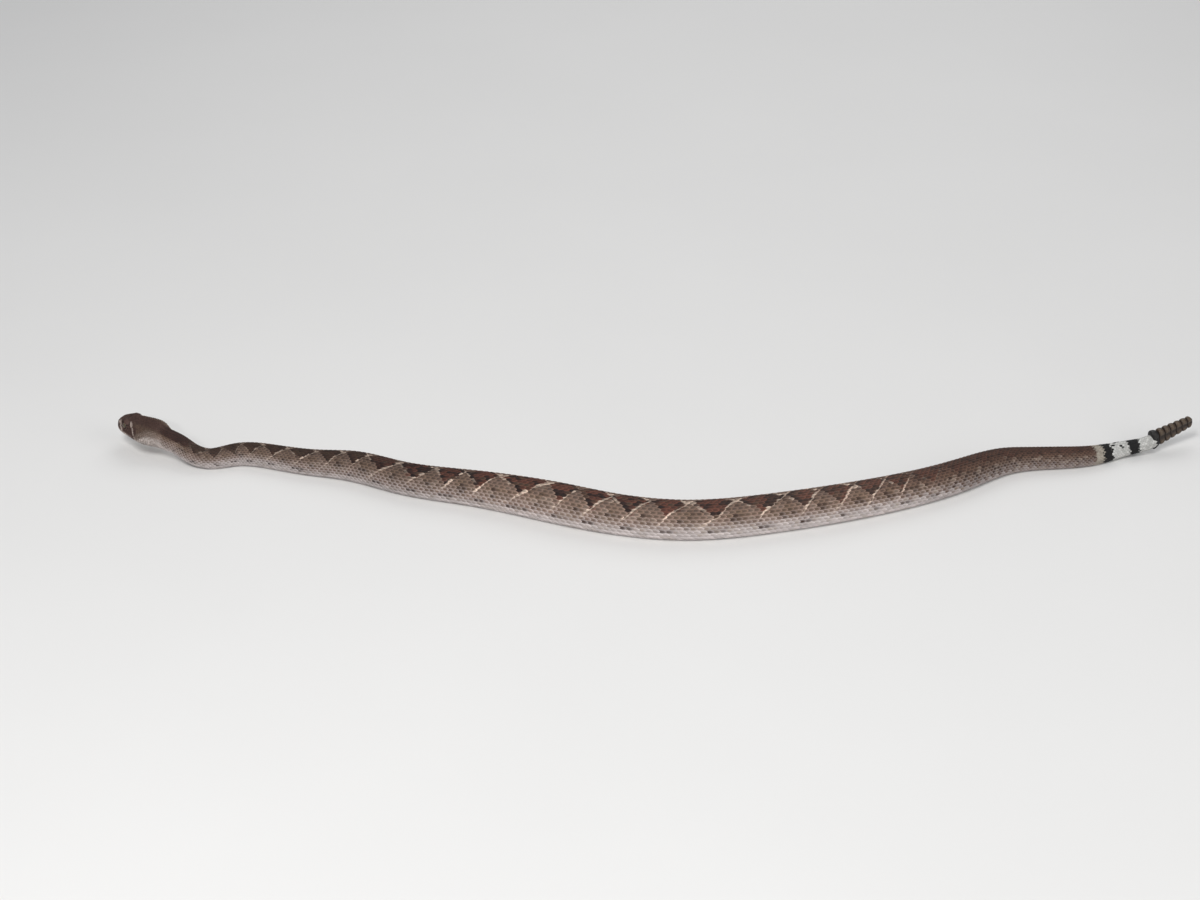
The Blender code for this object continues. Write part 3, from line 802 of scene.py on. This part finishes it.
def chinEnd(s):          # the upper edge of the chin's rows
    up = easeFrom(s, headScales["corner"] - 1.5, 7.0)
    return np.interp(s, stations, lowerEdge) * (1 - up) + rowsEnd(s) * up


def columnsBetween(start, end):
    low, high = np.interp((start, end), stations, columnAt)
    return np.arange(math.ceil(low), math.floor(high) + 1)


def latticePlaces(start, end, rows, halfRows):       # every other row is half a scale further back
    s, share, row = [], [], []
    for number in rows:
        shifts = columnsBetween(start, end) + (0.5 if number % 2 else 0.0)
        at = np.interp(shifts, columnAt, stations)
        x = number / (halfRows + 0.5)
        s.append(at)
        share.append(0 * at + x * (dorsal["backRows"] + (1 - dorsal["backRows"]) * abs(x)))
        row.append(0 * at + number)
    return np.concatenate(s), np.concatenate(share), np.concatenate(row)


def scaleRows(name, places, halfRows, start, end, patch=None):
    s0, share, row = places
    master = masters["keeled"]
    onHead = 1 - easeFrom(s0, *dorsal["headEnds"])
    overlap, breadth = (dorsal[k] + (headScales[k] - dorsal[k]) * onHead for k in ("overlap", "breadth"))
    around = np.interp(s0, stations, halfRound)
    lean = share * (rowsEnd(s0 + 1) - rowsEnd(s0 - 1)) / 2 * around      # how far a row turns from the body
    stretch = np.hypot(1, lean)
    widening = dorsal["backRows"] + 2 * (1 - dorsal["backRows"]) * np.abs(share)
    pitch = rowsEnd(s0) * around / (halfRows + 0.5) * widening
    length = spacingAt(s0) * overlap
    along = (master["y"][None] - 0.5) * length[:, None]
    across = master["x"][None] * (pitch / 2 * breadth / stretch ** 2)[:, None]
    s = s0[:, None] + along - across * lean[:, None]
    t = share[:, None] * rowsEnd(s) + (across * (1 + lean ** 2)[:, None]) / around[:, None]
    height = master["z"][None] * (coatDepth(s0) * np.interp(s0, *thickness))[:, None]
    middle = np.column_stack([s0 + 0.1 * length, share * rowsEnd(s0)])
    columns = np.interp(s0, stations, columnAt)
    low, high = np.interp((start, end), stations, columnAt)
    low, high = low - 1, high + 1
    top, bottom = row.max(), row.min()
    uv = np.column_stack([(columns - low) / (high - low), (row - bottom + 0.5) / (top - bottom + 1)])
    patch = patch or (0.56 / (high - low),) * 2
    return copies(name, master, s, t, height, middle, uv, np.tile(patch, (len(s0), 1)))


def trunkScales():
    half, start, end = lattice["rows"] // 2, dorsal["from"], lattice["tailFrom"]
    bands = {"scales_back": range(-3, 4),
             "scales_left_flank": range(4, 9), "scales_left_side": range(9, half + 1),
             "scales_right_flank": range(-8, -3), "scales_right_side": range(-half, -8)}
    for name, rows in bands.items():
        piece = scaleRows(name, latticePlaces(start, end, rows, half), half, start, end)
        finishPiece(piece, coat, "body_skin")


def tailScales():
    half, start, end = lattice["tailRows"] // 2, lattice["tailFrom"], tailEnd - 1.5
    places = latticePlaces(start, end, range(-half, half + 1), half)
    finishPiece(scaleRows("tail_scales", places, half, start, end), coat, "tail_skin")


plates = {"throat": 54.0, "tail": vent + 8, "overlap": 1.25, "breadth": 1.04, "lift": 0.95}


def bellyPlates(name, start, end, slot):
    master = masters["plate"]
    s0 = np.interp(columnsBetween(start, end), columnAt, stations)
    length = spacingAt(s0) * plates["overlap"]
    s = s0[:, None] + (master["y"][None] - 0.5) * length[:, None]
    t = 1 + master["x"][None] * (1 - edgeAt(s)) * plates["breadth"]
    height = master["z"][None] * (plates["lift"] * coatDepth(s0))[:, None]
    uv = np.column_stack([(np.arange(len(s0)) + 0.5) / len(s0), 0 * s0 + 0.5])
    piece = copies(name, master, s, t, height, np.column_stack([s0, 0 * s0 + 1]), uv,
                   np.tile((0.6 / len(s0), 0.9), (len(s0), 1)))
    finishPiece(piece, coat, slot)


skinMesh = {"headStep": 0.35, "bodyStep": 2.6, "endStep": 0.5, "endRows": 4, "around": 96, "axis": 6.2}


def makeSkin():
    along = np.concatenate([np.arange(snout - cap["travel"], nape, skinMesh["headStep"]),
                            np.arange(nape, tailEnd, skinMesh["bodyStep"]),
                            tailEnd + np.arange(skinMesh["endRows"]) * skinMesh["endStep"]])

    def shape(x, y):
        s = along[np.rint(y * (len(along) - 1)).astype(int)]
        t = x * 2 - 1
        closing = s > along[-1] - skinMesh["endStep"] / 2        # the last row closes the tail's end
        points = np.where(closing[:, None], place(s, 0 * s, 0 * s + skinMesh["axis"]), surface(s, t, 0 * s))
        maps = {"bodyMap": onBody(s, t), "placeMap": onBody(s, t),
                "scaleMap": np.column_stack([0 * s, 0 * s, 0 * s + 0.5])}
        return points, maps

    piece = bentGrid("snake_skin", skinMesh["around"], len(along) - 1, shape)
    weld(piece)
    flesh = ["head", "lower_jaw", "neck"] + [f"trunk_{i + 1}" for i in range(7)] + ["tail"]
    finishPiece(piece, underCoat, "body_skin", *flesh)


# Head: small scales over the crown and temples, kept clear of the openings, then the larger shields
clearOf = {"eye": 4.25, "pit": 2.5, "nostril": 2.4,
           "brow": {"middle": 14.3, "half": 5.3, "from": 17.35, "to": 0.36}}


def sidewaysFrom(s, t, point):   # distance, seen from the side, from a point (s, v)
    where = readTable(bareTable, s, np.abs(t))
    return np.hypot(where[..., 0] - point[0], where[..., 2] - point[1])


def crownScales():
    half, start, end = lattice["rows"] // 2, headScales["from"], dorsal["from"]
    s0, share, row = latticePlaces(start, end, range(-half, half + 1), half)
    t0 = share * rowsEnd(s0)
    brow = clearOf["brow"]
    underBrow = ((np.abs(s0 - brow["middle"]) < brow["half"]) & (np.abs(t0) < brow["to"])
                 & (np.abs(t0) > shareAtHeight(s0, brow["from"])))
    keep = ~underBrow
    for name, opening in openings.items():
        keep = keep & (sidewaysFrom(s0, t0, opening["at"]) > clearOf[name])
    low, high = np.interp((start, end), stations, columnAt)
    patch = (0.6 / (high - low), 0.6 / lattice["rows"])
    piece = scaleRows("head_scales", (s0[keep], share[keep], row[keep]), half, start, end, patch)
    finishPiece(piece, coat, "head_skin")


chin = {"rows": 7, "from": 2.4, "to": 68.0, "spacing": 2.5, "beside": 0.92, "overlap": 1.35, "breadth": 0.78,
        "keel": 0.72, "lift": 0.7}


def chinScales():
    master, half = masters["keeled"], chin["rows"]
    s0, x0 = [], []
    for number in range(-half, half + 1):
        at = np.arange(chin["from"] + (number % 2) * chin["spacing"] / 2, chin["to"], chin["spacing"])
        s0.append(at)
        x0.append(0 * at + number)
    s0, x0 = np.concatenate(s0), np.concatenate(x0)
    beside = np.abs(x0) * (1 - chinEnd(s0)) / (half + 0.5) > (1 - edgeAt(s0)) * chin["beside"]
    keep = (s0 < plates["throat"] + chin["spacing"]) | beside    # further back only beside the belly plates
    s0, x0 = s0[keep], x0[keep]
    s = s0[:, None] + (master["y"][None] - 0.5) * chin["spacing"] * chin["overlap"]
    part = (1 - chinEnd(s)) / (half + 0.5)
    t = 1 + x0[:, None] * part + master["x"][None] * part * chin["breadth"]
    flatKeel = np.where(np.abs(master["across"]) < 0.01, chin["keel"], 1.0)
    height = (master["z"] * flatKeel)[None] * coatDepth(s0)[:, None] * chin["lift"]
    uv = np.column_stack([(s0 - s0.min() + 2) / (np.ptp(s0) + 4), (x0 + half + 0.5) / (2 * half + 1)])
    patch = np.tile((0.028, 0.04), (len(s0), 1))
    middle = np.column_stack([s0, 1 - np.abs(x0) * (1 - chinEnd(s0)) / (half + 0.5)])
    finishPiece(copies("chin_scales", master, s, t, height, middle, uv, patch), coat, "head_skin")


# Each of these gives s, t and height of its shields, their middles, and their sizes on the unwrap
lips = {"from": 1.6, "to": 43.0, "count": 15, "gap": 0.10, "lift": 0.95, "crowding": 0.94, "overlap": 1.02,
        "upper": (0.15, 1.4), "lower": (-0.1, -1.3)}      # past the scales' edge, middle over the mouth


def lipShields(side, upper):
    master, count = masters["shield"], lips["count"]
    ends = lips["from"] + (lips["to"] - lips["from"]) * (np.arange(count + 1) / count) ** lips["crowding"]
    s0, length = (ends[:-1] + ends[1:]) / 2, np.diff(ends) * lips["overlap"]
    s = s0[:, None] + (master["y"][None] - 0.5) * length[:, None]
    across = (1 + side * master["x"][None]) / 2
    mouth = mouthHeight(s)
    past, middle = lips["upper" if upper else "lower"]
    if upper:
        top, bottom = mouth + headScales["upperLip"] + past, mouth + lips["gap"]
    else:
        top, bottom = mouth - lips["gap"], mouth - headScales["lowerLip"] + past
    t = side * shareAtHeight(s, top + (bottom - top) * across)
    height = master["z"][None] * lips["lift"] * coatDepth(s0)[:, None]
    t0 = side * shareAtHeight(s0, mouthHeight(s0) + middle)
    return s, t, height, np.column_stack([s0, t0]), np.column_stack([0.011 * length, 0 * s0 + 0.045])


rings = {                    # round each opening, but for those whose angle has a cosine below "open"
    "eye": {"radius": 3.55, "width": 1.5, "count": 15, "lift": 0.42, "open": -0.62},
    "pit": {"radius": 1.85, "width": 1.1, "count": 7, "lift": 0.40, "open": -2},
    "nostril": {"radius": 1.6, "width": 1.35, "count": 4, "lift": 0.42, "open": -2},
}


def ringShields(side, name):
    master, ring, (middleS, middleV) = masters["shield"], rings[name], openings[name]["at"]
    step = 2 * math.pi / ring["count"]
    angles = (np.arange(ring["count"]) + 0.5) * step
    angles = angles[np.cos(angles) >= ring["open"]]
    angle = angles[:, None] + (master["y"][None] - 0.5) * step * 0.98
    reach = ring["radius"] + side * master["x"][None] * ring["width"] / 2
    s = middleS + reach * np.sin(angle)
    t = side * shareAtHeight(s, middleV - reach * np.cos(angle))
    s0 = middleS + ring["radius"] * np.sin(angles)
    t0 = side * shareAtHeight(s0, middleV - ring["radius"] * np.cos(angles))
    height = master["z"][None] * ring["lift"] + 0 * s
    return s, t, height, np.column_stack([s0, t0]), np.tile((0.010, 0.012), (len(s0), 1))


def patchShield(side, s0, s1, t0, t1, lift):     # one shield from s0 to s1 and t0 to t1
    master = masters["shield"]
    s = s0 + (s1 - s0) * master["y"][None]
    t = side * (t0 + (t1 - t0) * (1 + side * master["x"][None]) / 2)
    return (s, t, master["z"][None] * lift, np.array([[(s0 + s1) / 2, side * (t0 + t1) / 2]]),
            np.array([[(s1 - s0) * 0.011, (t1 - t0) * 0.35]]))


brow = {"middle": 14.2, "half": 4.8, "top": 17.45, "bottom": 14.35, "arch": 0.9, "lift": 0.6,
        "overhang": 0.55}


def browShield(side):            # the large scale that hangs over the eye
    master = masters["shield"]
    s = brow["middle"] + brow["half"] * (2 * master["y"][None] - 1)
    across = (1 + side * master["x"][None]) / 2
    bottom = brow["bottom"] + brow["arch"] * ((s - brow["middle"]) / brow["half"]) ** 2
    t = side * shareAtHeight(s, brow["top"] + (bottom - brow["top"]) * across)
    overhang = brow["overhang"] * across * np.sin(math.pi * master["y"][None])
    height = master["z"][None] * brow["lift"] + overhang
    return s, t, height, np.array([[brow["middle"], side * 0.22]]), np.array([[0.1, 0.05]])


def frontShield(u0, v0, halfWidth, tall, lift, taper=0.0):   # on the snout's front, seen from ahead
    master = masters["shield"]
    u = u0 + master["x"][None] * halfWidth * (1 - taper * master["y"][None])
    v = v0 + master["y"][None] * tall
    rim = bare[np.searchsorted(stations, snout)]
    angles = np.arctan2(rim[:, 0], rim[:, 1] - cap["centre"])
    reach = np.hypot(rim[:, 0], rim[:, 1] - cap["centre"])
    angle = np.arctan2(np.abs(u), v - cap["centre"])
    share = np.hypot(u, v - cap["centre"]) / np.interp(angle, angles, reach)
    s = np.where(share < 1, snout - cap["travel"] * (1 - share), snout + (share - 1) * 2.5)
    t = np.where(u < 0, -1, 1) * np.interp(angle, angles, shareRound)
    middle = np.array([[0.3, 0.55 if v0 + tall / 2 > 6 else 0.8]])
    return s, t, master["z"][None] * lift, middle, np.array([[0.03, 0.03]])


shields = {
    "lift": 0.42,
    # on the snout's front: u and v of the lower middle, half the width, the height, the lift, the taper
    "middle": ((0, 5.55, 2.1, 5.2, 0.5, 0.25), (0, 3.3, 1.9, 1.9, 0.45, -0.1)),
    # beside them, with the first four of these
    "beside": ((3.4, 5.45, 1.3, 2.7), (3.3, 8.2, 1.2, 2.6), (5.9, 5.35, 1.2, 2.6), (3.3, 2.9, 1.3, 2.2),
               (5.7, 2.8, 1.1, 2.3)),
    # on the snout's top: from s, to s, and the edges between them as t
    "top": ((0.5, 2.7, (0.005, 0.085, 0.17)), (2.6, 5.2, (0.005, 0.065, 0.13, 0.205))),
    "behindNostril": (4.9, 7.2, 0.26, 0.38, 0.4),
    # behind the corner of the mouth: from s, to s, and the edges as heights
    "corner": ((42.9, 45.5, (10.8, 9.2, 7.4, 5.3)), (45.3, 47.7, (10.7, 9.0, 7.2))), "cornerLift": 0.55,
}


def headShields():
    groups = [frontShield(*numbers) for numbers in shields["middle"]]
    for side in (1, -1):
        groups += [lipShields(side, True), lipShields(side, False), browShield(side)]
        groups += [ringShields(side, name) for name in rings]
        groups += [frontShield(side * u, *numbers, shields["lift"]) for u, *numbers in shields["beside"]]
        for start, end, edges in shields["top"]:
            groups += [patchShield(side, start, end, low, high, shields["lift"])
                       for low, high in zip(edges, edges[1:])]
        groups.append(patchShield(side, *shields["behindNostril"]))
        for start, end, heights in shields["corner"]:
            edges = shareAtHeight((start + end) / 2, heights)
            groups += [patchShield(side, start, end, low, high, shields["cornerLift"])
                       for low, high in zip(edges, edges[1:])]
    s, t, height, middle, patch = (np.concatenate(parts) for parts in zip(*groups))
    uv = np.column_stack([(middle[:, 0] + 6) / 56, (middle[:, 1] + 1) / 2])
    piece = copies("head_shields", masters["shield"], s, t, height, middle, uv, patch)
    finishPiece(piece, coat, "head_skin")


# Eyes: a ball with a slit pupil, under a clear scale
eyes = {"iris": rgb(0.105, 0.075, 0.042), "flecks": rgb(0.02, 0.014, 0.010), "gold": rgb(0.24, 0.18, 0.09),
        "pupil": rgb(0.004, 0.004, 0.004), "slit": (0.15, 0.56), "forward": -14, "raised": 14}


def eyeMaterial():
    tree = Tree("eye_under_clear_scale")
    back, out, up = tree.readMap("eyeMap")
    fromMiddle = tree.maths("SQRT", back * back + up * up)
    slit = tree.maths("SQRT", (back / eyes["slit"][0]) * (back / eyes["slit"][0])
                      + (up / eyes["slit"][1]) * (up / eyes["slit"][1]))     # 1 on the pupil's edge
    colour = paint(tree, eyes["iris"], eyes,
                   (tree.noise(2600.0, 4.0, 0.65).fade(0.42, 0.62), "flecks"),
                   (slit.fade(1.75, 1.05) * 0.8, "gold"),
                   (fromMiddle.fade(0.66, 0.86), "flecks"), (slit.fade(1.08, 0.98), "pupil"))
    return tree.finish(baseColor=colour, roughness=0.28, specularIorLevel=0.2, coatWeight=1.0,
                       coatRoughness=0.02, coatIor=1.36)


def makeEye(side, name, material):
    deselectAll()
    bpy.ops.mesh.primitive_uv_sphere_add(segments=64, ring_count=40, radius=1, location=(0, 0, 0))
    piece = bpy.context.object
    piece.name = piece.data.name = name + "_ball"
    co = np.array([v.co for v in piece.data.vertices], float)
    across, out, up = co[:, 0], co[:, 2], co[:, 1]       # the ball's pole looks out
    giveMap(piece, "eyeMap", np.column_stack([across, out, up]))
    yaw, pitch = math.radians(eyes["forward"]), math.radians(eyes["raised"])
    s = across * math.cos(yaw) + out * math.sin(yaw)
    outward = out * math.cos(yaw) - across * math.sin(yaw)
    u = outward * math.cos(pitch) - up * math.sin(pitch)
    v = up * math.cos(pitch) + outward * math.sin(pitch)
    at, radius = headShape["eye"], headShape["eyeRadius"]
    points = place(at[0] + s * radius, side * (at[1] + u * radius), at[2] + v * radius)
    piece.data.vertices.foreach_set("co", points.astype(np.float32).ravel())
    weld(piece)
    finishPiece(piece, material, "eye", name)


# Rattle: loose rings of horn, each with an upper and a lower lobe and a waist behind it
rattle = {
    "segments": 7, "length": 51.0, "axis": 7.0, "height": (18.4, 12.2), "width": (10.6, 7.6), "gap": 0.3,
    "fuller": 1.07, "boxiness": (0.62, 0.80), "overTail": 1.4, "sides": 72, "along": 22,
    "closing": 0.06,             # share of a segment's rows that close each of its ends
    "waist": 0.76, "lobe": (0.72, 0.55), "flare": 0.14, "button": {"from": 0.3, "taper": 0.66, "power": 2.1},
    "groove": {"least": 0.10, "deeper": 0.34, "wide": 0.26},
    "horn": rgb(0.058, 0.036, 0.022), "deep": rgb(0.014, 0.008, 0.006), "worn": rgb(0.125, 0.088, 0.055),
    # the base segment: near-black horn, with a painted sheen on the crests of its lobes
    "base": rgb(0.007, 0.006, 0.006), "baseWorn": rgb(0.028, 0.024, 0.022),
}


def hornMaterial(name, main, deep, worn):
    tree = Tree(name)
    along, groove, _ = tree.readMap("hornMap")           # along a segment, and depth in its groove
    streaks = tree.noise(900.0, 4.0, 0.6)
    patches = tree.noise(160.0, 2.0)
    joint = along.fade(0.80, 0.97) | along.fade(0.10, 0.0)
    crest = along.between(0.2, 0.62, 0.14) * groove.fade(0.5, 0.1)
    colour = tree.mix(patches.fade(0.35, 0.7) * 0.5, main, deep)
    # lighter crests on the lobes: partly wear, partly a painted sheen; on the near-black base only a painted
    # sheen
    colour = tree.mix(crest * (0.25 + streaks * 0.5), colour, worn)
    colour = tree.mix(joint * 0.85, colour, deep)
    # painted shade: darker down in the lengthwise groove
    colour = tree.mix(groove.fade(0.35, 0.95) * 0.6, colour, deep)
    ridges = tree.maths("SINE", along * 20.0 + patches * 5.0)
    return tree.finish(baseColor=colour, roughness=0.36 + streaks * 0.22, specularIorLevel=0.4,
                       normal=tree.bumps(ridges * 0.3 + streaks * 0.6, 0.25, 0.0004))


def signedPower(x, power):
    return np.sign(x) * np.abs(x) ** power


def makeRattle():
    look, button, groove = rattle, rattle["button"], rattle["groove"]
    horn = hornMaterial("rattle_horn", look["horn"], look["deep"], look["worn"])
    base = hornMaterial("rattle_base_horn", look["base"], look["base"], look["baseWorn"])
    length = look["length"] / look["segments"]
    for index in range(look["segments"]):
        first, last = index == 0, index == look["segments"] - 1
        age = index / (look["segments"] - 1)
        tall, wide = (new + (old - new) * age for new, old in (look["height"], look["width"]))
        over = look["overTail"] * first
        start = tailEnd + index * length + look["gap"] / 2 - over

        def shape(x, y):
            inside = np.clip((y - look["closing"]) / (1 - 2 * look["closing"]), 0, 1)
            lobe = np.clip(np.sin(math.pi * inside ** look["lobe"][0]), 0, 1) ** look["lobe"][1]
            swell = look["waist"] + (1 - look["waist"]) * lobe + look["flare"] * (1 - inside) * first
            if last:
                past = np.clip((inside - button["from"]) / (1 - button["from"]), 0, 1)
                swell = np.where(past > 0, 1 - button["taper"] * past ** button["power"], swell)
            swell = swell * np.clip(np.minimum(y, 1 - y) / look["closing"], 0, 1) ** 0.5
            a = x * 2 * math.pi
            pinch = np.exp(-(np.sin(a) / groove["wide"]) ** 2)
            depth = groove["deeper"] * np.clip(np.sin(math.pi * inside), 0, 1) ** 0.5 + groove["least"]
            if first:                                    # closed round the end of the tail
                depth = depth * np.clip(inside * 2.4 - 0.6, 0, 1)
            u = wide / 2 * signedPower(np.cos(a), look["boxiness"][0]) * (1 - depth * pinch) * swell
            v = look["axis"] + tall / 2 * look["fuller"] * signedPower(np.sin(a), look["boxiness"][1]) * swell
            s = start + inside * (length - look["gap"] + over)
            return place(s, u, v), {"hornMap": np.column_stack([inside, pinch, 0 * x])}

        piece = bentGrid(f"rattle_{index + 1}_horn", look["sides"], look["along"], shape)
        weld(piece)
        slot = "rattle_base_horn" if first else "rattle_horn"
        finishPiece(piece, base if first else horn, slot, f"rattle_{index + 1}", sharp=50)


# Camera, floor and light
view = {"place": (-0.058, -2.067, 1.288), "tilt": 59, "lens": 72, "sensor": 36, "clip": (0.02, 60)}
studio = {"floor": rgb(0.77, 0.76, 0.74), "sky": rgb(0.86, 0.89, 0.95), "skyStrength": 0.33}
lamps = {
    "key": {"at": (-0.7, -1.5, 2.3), "aim": (0, 0, 0), "size": 0.9, "power": 41},
    "glint": {"at": (-0.75, -1.9, 1.35), "aim": (-0.4, 0, 0), "size": 0.1, "power": 8},
    "fill": {"at": (1.8, -1.2, 1.2), "aim": (0.1, 0, 0), "size": 1.6, "power": 14},
    "back": {"at": (0.3, 1.7, 1.9), "aim": (0, 0, 0), "size": 1.8, "power": 16},
}


def makeCamera():
    bpy.ops.object.camera_add(location=view["place"], rotation=(math.radians(view["tilt"]), 0, 0))
    camera = bpy.context.object
    camera.data.lens, camera.data.sensor_width = view["lens"], view["sensor"]
    camera.data.clip_start, camera.data.clip_end = view["clip"]
    bpy.context.scene.camera = camera


def makeStudio():
    deselectAll()
    bpy.ops.mesh.primitive_plane_add(size=30, location=(0, 0, -0.0002))
    floor = bpy.context.object
    floor.name = "floor"
    tree = Tree("pale_floor")
    tone = tree.noise(3.0, 4.0) * 0.05 + 0.97
    floor.data.materials.append(tree.finish(
        baseColor=tree.mix(1.0, studio["floor"], tree.grey(tone), "MULTIPLY"), roughness=0.8))
    for name, lamp in lamps.items():
        data = bpy.data.lights.new(name, "AREA")
        data.size, data.energy = lamp["size"], lamp["power"]
        light = bpy.data.objects.new(name, data)
        bpy.context.scene.collection.objects.link(light)
        light.location = lamp["at"]
        towards = np.array(lamp["aim"], float) - np.array(lamp["at"], float)
        turn = math.atan2(towards[1], towards[0])
        fall = math.atan2(math.hypot(towards[0], towards[1]), -towards[2])
        light.rotation_euler = (fall, 0, turn - math.pi / 2)
    world = bpy.context.scene.world or bpy.data.worlds.new("studio")
    bpy.context.scene.world = world
    world.use_nodes = True
    sky = world.node_tree.nodes["Background"]
    sky.inputs["Color"].default_value = studio["sky"]
    sky.inputs["Strength"].default_value = studio["skyStrength"]


bpy.context.scene.view_settings.view_transform = "Standard"
makeCamera()
makeStudio()
makeSkin()
trunkScales()
tailScales()
crownScales()
chinScales()
headShields()
eyeLook = eyeMaterial()
makeEye(1, "eye_left", eyeLook)
makeEye(-1, "eye_right", eyeLook)
makeRattle()
bellyPlates("belly_plates", plates["throat"], plates["tail"], "body_skin")
bellyPlates("tail_plates", plates["tail"], tailEnd - 2, "tail_skin")
